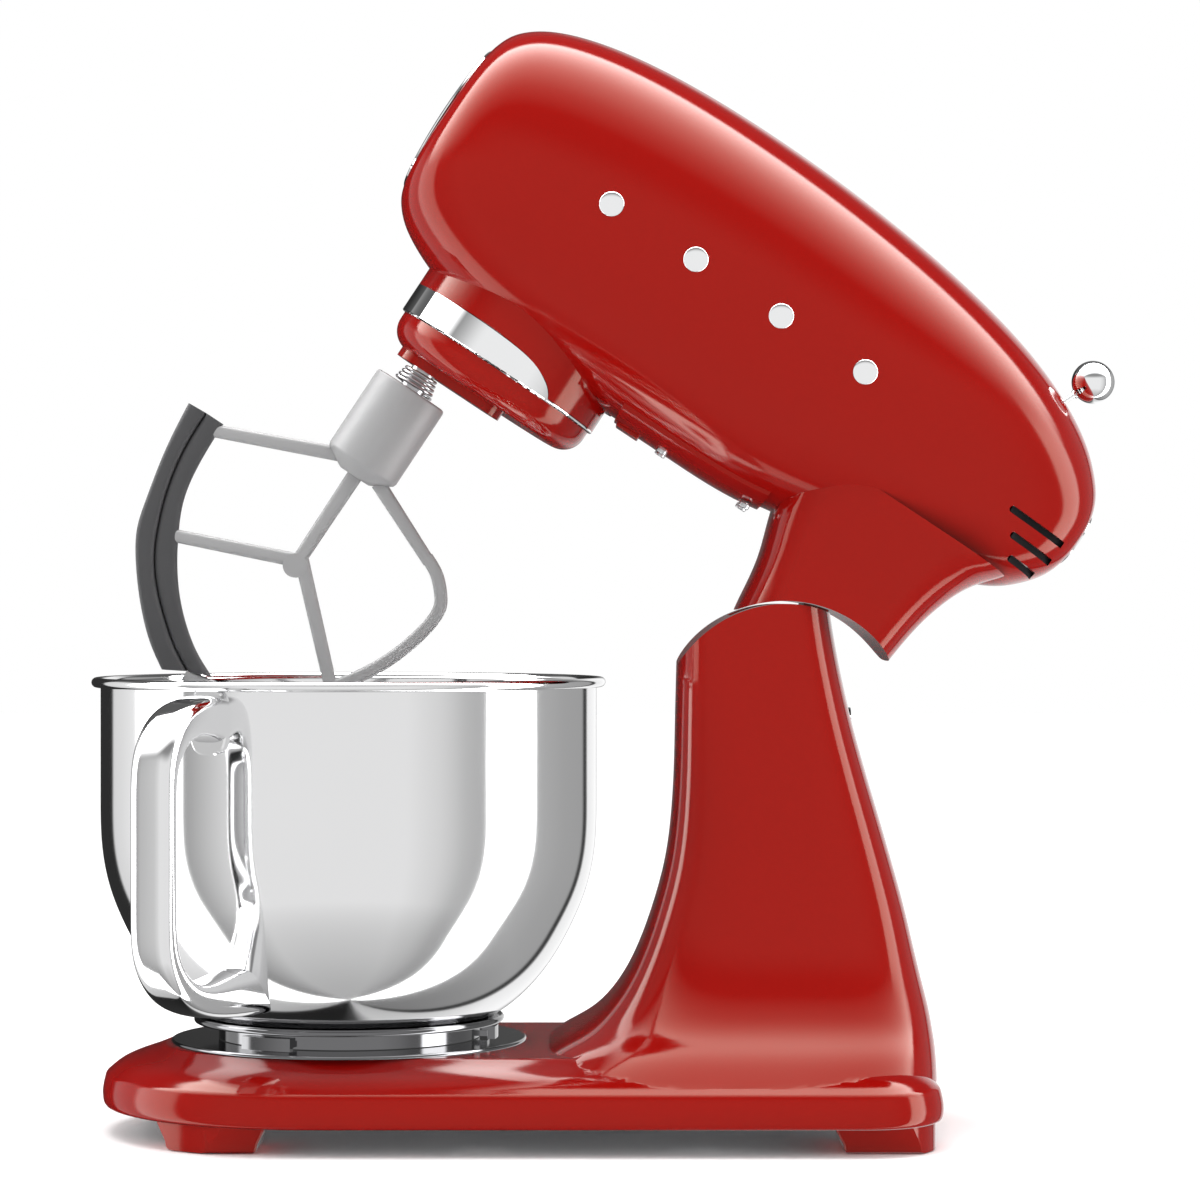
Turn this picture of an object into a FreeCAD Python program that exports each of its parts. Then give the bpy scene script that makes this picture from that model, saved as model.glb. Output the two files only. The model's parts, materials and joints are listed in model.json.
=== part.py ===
"""Tilt-head stand mixer, as it stands with its head raised.

Frame: millimetres, +Z up, z = 0 is the plane that the feet stand on, the bowl's axis is x = y = 0,
-X is the front (the bowl end) and +X is the rear (the column end).
Everything on the head is drawn with the head down, then turned up about the hinge pin.
"""
import FreeCAD
import Part
import math
import os
from FreeCAD import Vector

# ---- driving dimensions ----------------------------------------------------------------------
TILT = 33.5                 # how far the head is raised, degrees
PIVOT_X, PIVOT_Z = 185.1, 173.8   # the hinge pin's axis, along Y
KNUCKLE_R = 51.6            # round top of the column, about the pin
HINGE_GAP = 1.2             # between the column's round top and the neck
PIN_R = 6.0
RUNNING = 0.05              # radial clearance of a shaft in its bush

NOSE_X, HALF_WIDTH = -10.3, 95.0  # the base's round nose, and half its width
REAR_X, REAR_CORNER = 250.0, 34.0
BASE_UNDER, BASE_TOP = 11.5, 38.0
CASTING_WALL = 5.0
FOOT_HEIGHT = 2.5

HEAD_WALL = 4.0
HEAD_FRONT_X, HEAD_REAR_X = -76.6, 246.8
HUB_Z = 312.0               # axis of the accessory hub in the head's nose
BELLY_Z = 244.2             # flat underside of the head

PLANET_OFFSET = 26.25       # from the bowl's axis to the beater's shaft
CUP_R, CUP_TOP, CUP_UNDER = 47.0, 232.2, 219.1
BOSS_R = 48.5
BAND_LOW, BAND_HIGH = 232.7, 246.0
MODULE = 1.5
RING_TEETH, PLANET_TEETH = 49, 14
MAIN_TEETH, IDLER_TEETH, WHEEL_TEETH = 48, 20, 20
HUB_MODULE, CROWN_TEETH, HUB_TEETH = 2.0, 30, 20
GEAR_Z, GEAR_H = HUB_Z - 31.6, 8.0
MOTOR_Z = 312.0
WORM_R, WORM_STARTS = 7.0, 2
IDLER_Y = MODULE * WHEEL_TEETH / 2 + WORM_R
IDLER_X = math.sqrt((MODULE * (MAIN_TEETH + IDLER_TEETH) / 2) ** 2 - IDLER_Y ** 2)

BOWL_R, BOWL_RIM_Z, BOWL_WALL = 106.2, 194.0, 1.2
SEAT_R, SEAT_TOP = 76.0, 39.6
HANDLE_ANGLE = 180 + 61.6   # degrees from +X, the handle's direction from the bowl's axis
HANDLE_WIDTH = 20.0

BALL_X, BALL_Z, BALL_R = 216.4, 370.6, 9.3
LEVER_LEAN, LEVER_LENGTH = 23.0, 46.0
STALK_R, STALK_GRIP = 1.1, 0.6   # the lever's stalk, and its length inside the ball

X, Y, Z = Vector(1, 0, 0), Vector(0, 1, 0), Vector(0, 0, 1)
PIVOT = Vector(PIVOT_X, 0, PIVOT_Z)


# ---- small helpers ---------------------------------------------------------------------------
def cylinder(radius, start, end):
    """A rod between two points."""
    start, end = Vector(*start), Vector(*end)
    return Part.makeCylinder(radius, (end - start).Length, start, end - start)


def tube(outer, inner, start, end):
    """A ring or bush between two points."""
    along = (Vector(*end) - Vector(*start)).normalize()
    bore = cylinder(inner, tuple(Vector(*start) - along), tuple(Vector(*end) + along))
    return cylinder(outer, start, end).cut(bore)


def box(low, high):
    """A block between two opposite corners."""
    size = Vector(*high) - Vector(*low)
    return Part.makeBox(size.x, size.y, size.z, Vector(*low))


def join(shapes):
    """One solid from overlapping ones."""
    return shapes[0].fuse(shapes[1:]).removeSplitter() if len(shapes) > 1 else shapes[0]


def curve(points, start=None, end=None):
    """An open smooth edge through points, with its directions at the ends where they are given."""
    spline = Part.BSplineCurve()
    vectors = [Vector(*p) for p in points]
    if start:
        spline.interpolate(Points=vectors, InitialTangent=Vector(*start), FinalTangent=Vector(*end))
    else:
        spline.interpolate(vectors)
    return spline.toShape()


def arc(start, middle, end):
    return Part.Arc(Vector(*start), Vector(*middle), Vector(*end)).toShape()


def line(start, end):
    return Part.LineSegment(Vector(*start), Vector(*end)).toShape()


def in_side_view(points, y=0.0):
    """(x, z) pairs as points of a side view, at y."""
    return [(x, y, z) for x, z in points]


def slab(edges, along):
    """A closed outline of edges, as a solid of the depth along."""
    return Part.Face(Part.Wire(edges)).extrude(Vector(*along))


def polygon(points):
    return Part.makePolygon([Vector(*p) for p in points] + [Vector(*points[0])])


def lathe(edges, angle=360):
    """An outline in the XZ plane, turned about the Z axis."""
    return Part.Face(Part.Wire(edges)).revolve(Vector(0, 0, 0), Z, angle)


def oval_wire(place, half_a, high, low, upper_power, lower_power, count=28):
    """A smooth closed outline; place(a, b) gives its point for an across and an up value.

    It reaches half_a to each side, high above and low below its widest line.
    """
    points = []
    for i in range(count):
        t = 2 * math.pi * i / count
        c, s = math.cos(t), math.sin(t)
        power = upper_power if s >= 0 else lower_power
        across = half_a * math.copysign(abs(c) ** (2 / power), c)
        up = (high if s >= 0 else low) * math.copysign(abs(s) ** (2 / power), s)
        points.append(place(across, up))
    spline = Part.BSplineCurve()
    spline.interpolate(Points=points, PeriodicFlag=True,
                       Parameters=[i / count for i in range(count + 1)])
    return Part.Wire(spline.toShape())


def raised(shape):
    """A head part, turned from head down to head up."""
    turned = shape.copy()
    turned.rotate(PIVOT, Y, TILT)
    return turned


# ---- gears -----------------------------------------------------------------------------------
def tooth_half_angle(teeth, module, backlash, radius):
    """Half the angle that an involute tooth fills at a radius."""
    pitch = module * teeth / 2
    base = pitch * math.cos(math.radians(20))

    def involute(angle):
        return math.tan(angle) - angle

    at = math.acos(min(1.0, base / max(radius, base)))
    full = math.pi / (2 * teeth) - backlash / (2 * pitch)
    return full + involute(math.radians(20)) - involute(at)


def toothed_wire(teeth, module, root, tip, backlash, phase, z):
    """The outline of a spur gear, in the plane at height z; phase is the first tooth's angle."""
    steps = 4
    radii = [root + (tip - root) * i / steps for i in range(steps + 1)]
    points = []
    for k in range(teeth):
        centre = math.radians(phase) + 2 * math.pi * k / teeth
        halves = [tooth_half_angle(teeth, module, backlash, r) for r in radii]
        side = [(r, centre - h) for r, h in zip(radii, halves)]
        side += [(r, centre + h) for r, h in reversed(list(zip(radii, halves)))]
        points += [(r * math.cos(a), r * math.sin(a), z) for r, a in side]
    return polygon(points)


def spur_gear(teeth, module, z, height, phase, bore, backlash=0.25):
    pitch = module * teeth / 2
    outline = toothed_wire(teeth, module, pitch - 1.2 * module, pitch + 0.9 * module,
                           backlash, phase, z)
    gear = Part.Face(outline).extrude(Z * height)
    return gear.cut(cylinder(bore, (0, 0, z - 1), (0, 0, z + height + 1)))


def moved(shape, x, y, z=0.0):
    shape.translate(Vector(x, y, z))
    return shape


# ---- base and column -------------------------------------------------------------------------
def base_plan(inset, z):
    """The base's outline seen from above, drawn in by inset, at height z."""
    r, rear, corner = HALF_WIDTH - inset, REAR_X - inset, REAR_CORNER - inset
    diagonal = corner * math.sqrt(0.5)
    inner_x, inner_y = rear - corner, r - corner
    return Part.Wire([
        line((NOSE_X, -r, z), (inner_x, -r, z)),
        arc((inner_x, -r, z), (inner_x + diagonal, -inner_y - diagonal, z), (rear, -inner_y, z)),
        line((rear, -inner_y, z), (rear, inner_y, z)),
        arc((rear, inner_y, z), (inner_x + diagonal, inner_y + diagonal, z), (inner_x, r, z)),
        line((inner_x, r, z), (NOSE_X, r, z)),
        arc((NOSE_X, r, z), (NOSE_X - r, 0, z), (NOSE_X, -r, z)),
    ])


def column_section(z, front, rear, half_width, inset=0.0):
    middle, half = (front + rear) / 2, (rear - front) / 2 - inset
    half_width -= inset
    return oval_wire(lambda a, b: Vector(middle + b, a, z), half_width, half, half, 4, 4)


# height, front, rear and half width of the column, from the base up
COLUMN = [
    (26, 76, 250.0, 92), (34, 81, 249.8, 86), (41, 90.5, 249.2, 80), (47, 100.8, 248.4, 73.5),
    (55, 110.2, 247.0, 67.5), (65, 117.6, 244.6, 62.5), (80, 125, 241, 58), (97, 131, 237, 55.2),
    (115, 135.7, 232.1, 53.2), (135, 138.4, 226.3, 51.8), (155, 139.6, 220.4, 50.5),
    (175, 140.1, 214.9, 49.6), (195, 140.6, 210.3, 49), (215, 141.2, 206.6, 48.5),
    (238, 142, 203.5, 48),
]


def foot_pads(z, top):
    """The casting's four pads, one under each corner, tapering down to height z."""
    pads = []
    for low_x, high_x, y, half in ((-80, -25, 66, 22), (199, 251, 62, 26)):
        for side in (-1, 1):
            wires = []
            for height, draw in ((top, 0.0), (z, 9.0)):
                x0, x1 = low_x + draw, high_x - draw * (0.9 if low_x < 0 else 0.3)
                y0, y1 = side * y - half + draw * 0.8, side * y + half - draw * 0.8
                corners = [(x0, y0), (x1, y0), (x1, y1), (x0, y1)]
                wires.append(polygon([(px, py, height) for px, py in corners]))
            pads.append(Part.makeLoft(wires, True, True))
    within = Part.Face(base_plan(3.6, 0)).extrude(Z * 40)
    return [pad.common(within) for pad in pads]


def base_casting():
    """The base and the column, one hollow casting."""
    rise = [(BASE_UNDER, 3.0), (13, 1.0), (16, 0.0), (23, 0.7), (26.5, 2.3), (29.5, 5.5),
            (33.5, 15.0), (36, 24.0), (BASE_TOP, 27.0)]
    slab_body = Part.makeLoft([base_plan(inset, z) for z, inset in rise], True, True)
    shaft = Part.makeLoft([column_section(*s) for s in COLUMN], True, False)
    below = box((0, -120, 0), (300, 120, PIVOT_Z + 4))
    knuckle = cylinder(KNUCKLE_R, (PIVOT_X, -120, PIVOT_Z), (PIVOT_X, 120, PIVOT_Z))
    shaft = shaft.common(below.fuse(knuckle))
    body = slab_body.fuse([shaft] + foot_pads(FOOT_HEIGHT, 20.0))
    inner = [base_plan(CASTING_WALL, BASE_UNDER - 1), base_plan(CASTING_WALL, 27.0),
             base_plan(CASTING_WALL + 22, 32.0)]
    inside = Part.makeLoft(inner, True, True).cut(foot_pads(FOOT_HEIGHT, 20.0))
    hollow = Part.makeLoft([column_section(*s, inset=CASTING_WALL) for s in COLUMN], True, False)
    hollow = hollow.common(box((0, -120, 0), (300, 120, 138)))
    body = body.cut([inside, hollow])
    slot_half, pocket_y = 22.0, 22.2
    slot = join([
        cylinder(slot_half, (PIVOT_X, -pocket_y, PIVOT_Z), (PIVOT_X, pocket_y, PIVOT_Z)),
        box((PIVOT_X - slot_half, -pocket_y, PIVOT_Z),
            (PIVOT_X + slot_half, pocket_y, PIVOT_Z + 60))])
    pin_bore = cylinder(PIN_R, (PIVOT_X, -46, PIVOT_Z), (PIVOT_X, 46, PIVOT_Z))
    button_hole = join([cylinder(3.3, (PIVOT_X + 15, 0, PIVOT_Z), (PIVOT_X + 25, 0, PIVOT_Z)),
                        cylinder(7.4, (PIVOT_X + 24, 0, PIVOT_Z), (240, 0, PIVOT_Z))])
    gland_hole = cylinder(7.0, (REAR_X - 12, 40, 20), (REAR_X + 4, 40, 20))
    screw_holes = [cylinder(2.0, (x, y, 20), (x, y, 39)) for x, y in seat_screw_places()]
    return body.cut([slot, pin_bore, button_hole, gland_hole] + screw_holes)


def base_bottom_cover():
    """The plate that closes the casting from below, round the four foot pads."""
    plate = Part.Face(base_plan(CASTING_WALL + 0.3, BASE_UNDER + 0.5)).extrude(Z * 2)
    grown = []
    for pad in foot_pads(FOOT_HEIGHT, 20.0):
        b = pad.BoundBox
        grown.append(box((b.XMin - 0.3, b.YMin - 0.3, 0), (b.XMax + 0.3, b.YMax + 0.3, 20)))
    return plate.cut(grown)


def foot_places():
    return [(-52.5, 66), (-52.5, -66), (224, 62), (224, -62)]


def rubber_feet():
    """Four rubber pads under the casting's corners."""
    feet = []
    for x, y in foot_places():
        foot = cylinder(12.0, (x, y, 0), (x, y, FOOT_HEIGHT))
        feet.append(foot.makeFillet(0.8, [foot.Edges[2]]) if len(foot.Edges) > 2 else foot)
    return feet


def cover_screw_places():
    return [(-90, 0), (60, 70), (60, -70), (150, 70), (150, -70)]


def base_screws():
    """Screws that hold the bottom cover."""
    return [cylinder(4.0, (x, y, BASE_UNDER - 1.0), (x, y, BASE_UNDER + 0.5))
            for x, y in cover_screw_places()]


def seat_screw_places():
    return [(38 * math.cos(math.radians(a)), 38 * math.sin(math.radians(a)))
            for a in (30, 150, 270)]


LUG_ANGLES = (0, 120, 240)


def ring_sector(outer, inner, low, high, middle, width):
    """Part of a ring about the bowl's axis, width degrees wide."""
    edges = polygon([(inner, 0, low), (outer, 0, low), (outer, 0, high), (inner, 0, high)])
    sector = Part.Face(edges).revolve(Vector(0, 0, 0), Z, width)
    sector.rotate(Vector(0, 0, 0), Z, middle - width / 2)
    return sector


def bowl_seat_plate():
    """The steel dish on the base, with three hooked clips for the bowl's foot."""
    dish = lathe([
        line((0, 0, BASE_TOP), (SEAT_R - 1, 0, BASE_TOP)),
        arc((SEAT_R - 1, 0, BASE_TOP), (SEAT_R, 0, BASE_TOP + 0.8), (SEAT_R - 1, 0, SEAT_TOP)),
        line((SEAT_R - 1, 0, SEAT_TOP), (0, 0, SEAT_TOP)), line((0, 0, SEAT_TOP), (0, 0, BASE_TOP))])
    clips = []
    for angle in LUG_ANGLES:
        clips.append(ring_sector(64.0, 60.7, SEAT_TOP - 0.5, 45.0, angle, 22))
        clips.append(ring_sector(61.0, 58.2, 43.4, 45.0, angle, 22))
    holes = [cylinder(2.0, (x, y, 30), (x, y, 50)) for x, y in seat_screw_places()]
    return join([dish] + clips).cut(holes)


def seat_screws():
    """Three screws that hold the seat plate."""
    screws = []
    for x, y in seat_screw_places():
        screws.append(join([cylinder(2.0, (x, y, 31), (x, y, SEAT_TOP)),
                            cylinder(4.0, (x, y, SEAT_TOP), (x, y, SEAT_TOP + 1.2))]))
    return screws


def hinge_pin():
    return cylinder(PIN_R, (PIVOT_X, -45.5, PIVOT_Z), (PIVOT_X, 45.5, PIVOT_Z))


def cord_gland():
    """The bush in the rear wall that a mains lead comes out of."""
    return tube(7.0, 3.6, (REAR_X - 8, 40, 20), (REAR_X, 40, 20))


def control_board():
    """The motor's speed board, standing inside the column."""
    return box((160, -35, 45), (162, 35, 112))


def release_button():
    """The button in the column's rear that lets the head tilt."""
    face = PIVOT_X + 30.2
    return join([cylinder(7.1, (face - 3, 0, PIVOT_Z), (face, 0, PIVOT_Z)),
                 cylinder(3.0, (PIVOT_X + 20.5, 0, PIVOT_Z), (face - 3, 0, PIVOT_Z))])


def release_spring():
    """The button's return spring, round its stem."""
    return [Part.makeTorus(5.2, 0.6, Vector(PIVOT_X + x, 0, PIVOT_Z), X)
            for x in (24.8, 26.3)]


# ---- head ------------------------------------------------------------------------------------
# place along the head, crown, belly and half width, from nose to tail
HEAD = [
    (-76.6, 346, 279, 34), (-75.3, 351, 273.4, 39), (-72.5, 356.8, 268.6, 44.3),
    (-68, 361.6, 264, 49), (-61, 366.4, 259.4, 53.4), (-49.5, 371.4, 254.2, 57.3),
    (-33, 375.9, 249.2, 60.6), (-12, 379.3, 245.8, 63.2), (14, 381.4, 244.4, 65),
    (45, 382, 244.2, 66), (80, 381, 244.2, 66), (112, 378.5, 245, 65.2),
    (140, 375, 249.5, 63.6), (165, 370.5, 255, 61), (186, 365.2, 260, 57.4),
    (204, 358.8, 264.5, 53), (219, 351.6, 269, 47.8), (230, 344.3, 274.5, 42.5),
    (238, 336.9, 281.6, 37), (243, 330.7, 288, 31.5), (246, 324.2, 295, 25.5),
    (246.8, 321, 299, 22),
]


def head_body(inset):
    """The head's outer form, drawn in by inset all round."""
    wires = []
    for x, crown, belly, half in HEAD:
        place = max(HEAD_FRONT_X + inset, min(HEAD_REAR_X - inset, x))
        if wires and place <= HEAD_FRONT_X + inset and inset > 0:
            continue
        if inset > 0 and x > HEAD_REAR_X - inset:
            continue
        waist = belly + 0.48 * (crown - belly)
        wires.append(oval_wire(lambda a, b, p=place, w=waist: Vector(p, a, w + b),
                               half - inset, crown - waist - inset, waist - belly - inset,
                               2.35, 2.7))
    return Part.makeLoft(wires, True, False)


def flank(x, z):
    """The half width of the head at a place on its flank."""
    below = max((s for s in HEAD if s[0] <= x), key=lambda s: s[0])
    above = min((s for s in HEAD if s[0] > x), key=lambda s: s[0])
    share = (x - below[0]) / (above[0] - below[0])
    crown, belly, half = (a + (b - a) * share for a, b in zip(below[1:], above[1:]))
    waist = belly + 0.48 * (crown - belly)
    power, reach = (2.35, crown - waist) if z > waist else (2.7, waist - belly)
    return half * (1 - (abs(z - waist) / reach) ** power) ** (1 / power)


VENTS = ((212.5, 241, 302.1), (219, 241, 293.4), (224, 238.5, 285.1))


def vent_slots():
    """Three slots through each flank, near the tail; the front end of each is round."""
    slots = []
    for front, rear, z in VENTS:
        slots.append(box((front + 1.5, -80, z - 1.5), (rear, 80, z + 1.5)))
        slots.append(cylinder(1.5, (front + 1.5, -80, z), (front + 1.5, 80, z)))
    return join(slots)


def lever_direction():
    return Vector(math.sin(math.radians(LEVER_LEAN)), 0, math.cos(math.radians(LEVER_LEAN)))


def lever_pivot():
    return Vector(BALL_X, 0, BALL_Z) - lever_direction() * LEVER_LENGTH


def belly_opening():
    """The opening in the shell's underside that the lower casting fills."""
    return join([box((-46, -44, 225), (125, 44, 262)), box((120, -40, 225), (200, 40, 275))])


def head_forms():
    """The shapes that several head parts share: outer form, wall, and a slightly recessed form."""
    outer = head_body(0.0)
    inner = head_body(HEAD_WALL)
    return outer, inner, outer.cut(inner)


def head_shell(wall):
    """The upper shell of the head."""
    direction = lever_direction()
    slot = Part.makeBox(5, 32, 60, Vector(-2.5, -16, 0))
    slot.rotate(Vector(0, 0, 0), Y, LEVER_LEAN)
    slot.translate(lever_pivot() + direction * 10)
    hub_hole = cylinder(23.0, (-90, 0, HUB_Z), (-60, 0, HUB_Z))
    cuts = [belly_opening(), hub_hole, slot, vent_slots(),
            cylinder(BOSS_R, (0, 0, 225), (0, 0, 262))]
    return wall.cut(cuts + side_marks())


def neck_section(z, front, rear, half_width, inset=0.0):
    return column_section(z, front, rear, half_width, inset)


NECK = [
    (184, 143.5, 206.5, 48), (196, 142.9, 206.8, 48), (208, 141, 207, 48), (220, 139.4, 207.8, 48),
    (232, 136.8, 209, 48.6), (244, 132.8, 211, 50), (254, 130, 213.8, 52), (262, 128.5, 217, 53.5),
    (270, 127.5, 222, 55), (278, 127, 229, 56),
]


def lower_gearcase(outer, inner, wall):
    """The head's lower casting: belly, gearbox boss and the neck that rocks on the column."""
    belly = wall.common(belly_opening())
    neck = Part.makeLoft([neck_section(*s) for s in NECK], True, False)
    cavity = Part.makeLoft([neck_section(*s, inset=6.0) for s in NECK], True, False)
    swing = cylinder(KNUCKLE_R + HINGE_GAP, (PIVOT_X, -120, PIVOT_Z), (PIVOT_X, 120, PIVOT_Z))
    floor = cylinder(KNUCKLE_R + HINGE_GAP + 6, (PIVOT_X, -120, PIVOT_Z),
                     (PIVOT_X, 120, PIVOT_Z))
    neck = neck.cut([swing, cavity.cut(floor), outer.cut(belly_opening())])
    neck = neck.cut(inner)
    lean = 17.5
    web = box((PIVOT_X - 5.5, -21.5, PIVOT_Z), (PIVOT_X + 5.5, 21.5, PIVOT_Z + 56))
    web.rotate(PIVOT, Y, -lean)
    tongue = cylinder(16.0, (PIVOT_X, -21.5, PIVOT_Z), (PIVOT_X, 21.5, PIVOT_Z))
    boss = cylinder(BOSS_R, (0, 0, BAND_LOW), (0, 0, 249.5)).cut(trim_band_space())
    boss = boss.fuse(cylinder(BOSS_R - 1.3, (0, 0, BAND_LOW + 1), (0, 0, 249.5)))
    solid = belly.fuse([neck, web, tongue, boss])
    cuts = [
        cylinder(44.5, (0, 0, 200), (0, 0, 243.5)),
        cylinder(16.0, (0, 0, 230), (0, 0, 260)),
        cylinder(9.0, (IDLER_X, IDLER_Y, 243.9), (IDLER_X, IDLER_Y, 260)),
        cylinder(8.0, (PIVOT_X, -30, PIVOT_Z), (PIVOT_X, 30, PIVOT_Z)),
    ]
    return solid.cut(cuts)


def trim_band_space():
    """Where the bright band lies on the boss: all round at the lip, and higher at the front."""
    ring = tube(BOSS_R + 1, BOSS_R - 1.3, (0, 0, BAND_LOW - 1), (0, 0, BAND_HIGH))
    front = slab([
        line((-60, -60, BAND_LOW), (26.5, -60, BAND_LOW)),
        curve([(26.5, -60, BAND_LOW), (25, -60, 236.5), (20, -60, 240.2), (10, -60, 243.8)]),
        curve([(10, -60, 243.8), (0, -60, 244.9), (-20, -60, 245.7), (-60, -60, BAND_HIGH)]),
        line((-60, -60, BAND_HIGH), (-60, -60, BAND_LOW))], (0, 120, 0))
    lip = tube(BOSS_R + 1, BOSS_R - 1.3, (0, 0, BAND_LOW - 1), (0, 0, BAND_LOW + 1))
    return ring.common(front).fuse(lip).removeSplitter()


def trim_band():
    """The bright band round the gearbox boss."""
    return trim_band_space().common(cylinder(BOSS_R, (0, 0, BAND_LOW), (0, 0, BAND_HIGH)))


def head_bottom_cover(outer):
    """The service plate under the head, with a small finger tab."""
    plate = box((54, -40, BELLY_Z - 1.8), (126, 40, BELLY_Z + 1.5))
    tab = box((55.5, -12, BELLY_Z - 2.8), (66.5, 12, BELLY_Z - 1.8))
    return plate.fuse(tab).cut(outer)


def accessory_hub():
    """The socket in the head's nose that attachments push into."""
    return tube(23.0, 17.0, (HEAD_FRONT_X, 0, HUB_Z), (-50, 0, HUB_Z))


def front_cover():
    """The bright domed disc that plugs the accessory hub."""
    radius, back, crown, rise = 34.6, HEAD_FRONT_X - 0.3, HEAD_FRONT_X - 3.4, 2.4
    dome_r = (radius ** 2 + rise ** 2) / (2 * rise)
    dome = Part.makeSphere(dome_r, Vector(crown + dome_r, 0, HUB_Z))
    disc = cylinder(radius, (crown - 1, 0, HUB_Z), (back, 0, HUB_Z)).common(dome)
    spigot = tube(16.9, 14.0, (back - 0.3, 0, HUB_Z), (back + 11, 0, HUB_Z))
    return disc.fuse(spigot).removeSplitter()


def oval_rod(half_y, half_z, x0, x1, z):
    """A rod of elliptical section along X."""
    ellipse = Part.Ellipse(Vector(0, 0, 0), half_y, half_z).toShape()
    rod = Part.Face(Part.Wire(ellipse)).extrude(Z * (x1 - x0))
    rod.rotate(Vector(0, 0, 0), Y, 90)
    rod.rotate(Vector(0, 0, 0), X, 90)
    rod.translate(Vector(x0, 0, z))
    return rod


def rear_cap_ring(outer):
    """The bright oval ring round the tail cap."""
    return oval_rod(22.5, 12.4, 243.6, 247.2, 309.8).cut(outer)


def rear_cap():
    """The small domed cap on the head's tail."""
    ball = Part.makeSphere(1.0)
    stretch = FreeCAD.Matrix()
    stretch.scale(5.7, 22.4, 12.3)
    dome = ball.transformGeometry(stretch)
    dome.translate(Vector(243.3, 0, 309.8))
    return dome.common(box((247.2, -40, 280), (260, 40, 340)))


def vent_inserts():
    """Dark grilles, set a little way into the vent slots."""
    inserts = []
    for front, rear, z in VENTS:
        ends = [(front + 1.0, flank(front + 1.0, z)), (rear, flank(rear, z))]
        outline = [(x, half - 1.4) for x, half in ends] + [(x, half - 4.4) for x, half in ends[::-1]]
        for side in (-1, 1):
            face = Part.Face(polygon([(x, side * y, z - 1.5) for x, y in outline]))
            inserts.append(face.extrude(Z * 3))
    return inserts


MARK_X, MARK_Z, MARK_R = (4.9, 46.6, 88.9, 130.6), 314.6, 5.2


def side_marks():
    """Four plain bright studs on each flank, each in its own shallow seat."""
    studs = []
    for x in MARK_X:
        face = flank(x, MARK_Z)
        for side in (-1, 1):
            studs.append(cylinder(MARK_R, (x, side * (face - 2.0), MARK_Z),
                                  (x, side * (face + 0.8), MARK_Z)))
    return studs


def speed_switch():
    """The speed selector that the lever turns, under the slot."""
    pivot = lever_pivot()
    body = Part.makeBox(12, 30, 16, Vector(-20, -15, -8))
    spindle = Part.makeCylinder(3.0, 20, Vector(-9, 0, 0), X)
    switch = body.fuse(spindle)
    switch.rotate(Vector(0, 0, 0), Y, LEVER_LEAN)
    switch.translate(pivot)
    return switch


def speed_lever_arm():
    """The lever's hub and stalk."""
    hub = Part.makeCylinder(6.0, 10, Vector(-5, 0, 0), X).cut(
        Part.makeCylinder(3.0 + RUNNING, 12, Vector(-6, 0, 0), X))
    stalk = Part.makeCylinder(STALK_R, LEVER_LENGTH - BALL_R + STALK_GRIP - 5, Vector(0, 0, 5), Z)
    arm = hub.fuse(stalk)
    arm.rotate(Vector(0, 0, 0), Y, LEVER_LEAN)
    arm.translate(lever_pivot())
    return arm


def speed_lever_ball():
    """The bright ball on the stalk's end: a small flat at its tip, a blind hole for the stalk."""
    reach, hole_end = math.sqrt(BALL_R ** 2 - STALK_R ** 2), STALK_GRIP - BALL_R
    ball = lathe([
        arc((STALK_R, 0, -reach), (BALL_R, 0, 0), (STALK_R, 0, reach)),
        line((STALK_R, 0, reach), (0, 0, reach)),
        line((0, 0, reach), (0, 0, hole_end)),
        line((0, 0, hole_end), (STALK_R, 0, hole_end)),
        line((STALK_R, 0, hole_end), (STALK_R, 0, -reach)),
    ])
    ball.rotate(Vector(0, 0, 0), Y, LEVER_LEAN)
    ball.translate(Vector(BALL_X, 0, BALL_Z))
    return ball


# ---- drive -----------------------------------------------------------------------------------
def motor_stator():
    return tube(38.0, 25.0, (80, 0, MOTOR_Z), (122, 0, MOTOR_Z))


def motor_brackets(inner):
    """Two plates that stand on the belly and carry the motor's bearings."""
    plates = []
    for x0, x1 in ((68, 72), (172, 176)):
        plate = box((x0, -34, 262), (x1, 34, 350))
        plates.append(plate.cut(cylinder(11.0, (x0 - 1, 0, MOTOR_Z), (x1 + 1, 0, MOTOR_Z))))
    rails = [box((72, y - 3, 262), (172, y + 3, 268)) for y in (-28, 28)]
    feet = [box((x, y - 4, z), (x + 12, y + 4, 264)) for y in (-28, 28)
            for x, z in ((68, 248.6), (164, 259.4))]
    return join(plates + rails + feet).common(inner)


def motor_bearings():
    return [tube(11.0, 5.0 + RUNNING, (x, 0, MOTOR_Z), (x + 4, 0, MOTOR_Z)) for x in (68, 172)]


def brush_holders():
    """Carbon brushes in their holders, one each side of the commutator."""
    return [box((152, side * 13.5 if side > 0 else -30, MOTOR_Z - 4),
                (162, 30 if side > 0 else -13.5, MOTOR_Z + 4)) for side in (1, -1)]


def ring_gear():
    """The fixed internal gear that the beater's pinion rolls round in."""
    pitch = MODULE * RING_TEETH / 2
    space = Part.Face(toothed_wire(RING_TEETH, MODULE, pitch - 0.9 * MODULE,
                                   pitch + 1.25 * MODULE, -0.15, 180, 233.0)).extrude(Z * 12)
    return cylinder(44.5, (0, 0, 234), (0, 0, 242)).cut(space)


def gearbox_plate(inner):
    """The plate over the gears that holds the upper bearings, on four posts."""
    plate = box((-18, -48, 298), (66, 48, 302))
    posts = [cylinder(4.0, (x, y, 248), (x, y, 299))
             for x, y in ((-12, 43), (-12, -43), (60, 42), (60, -42))]
    holes = [cylinder(16.0, (0, 0, 290), (0, 0, 310)),
             cylinder(9.0, (IDLER_X, IDLER_Y, 290), (IDLER_X, IDLER_Y, 310))]
    return join([plate] + posts).cut(holes).common(inner)


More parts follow.
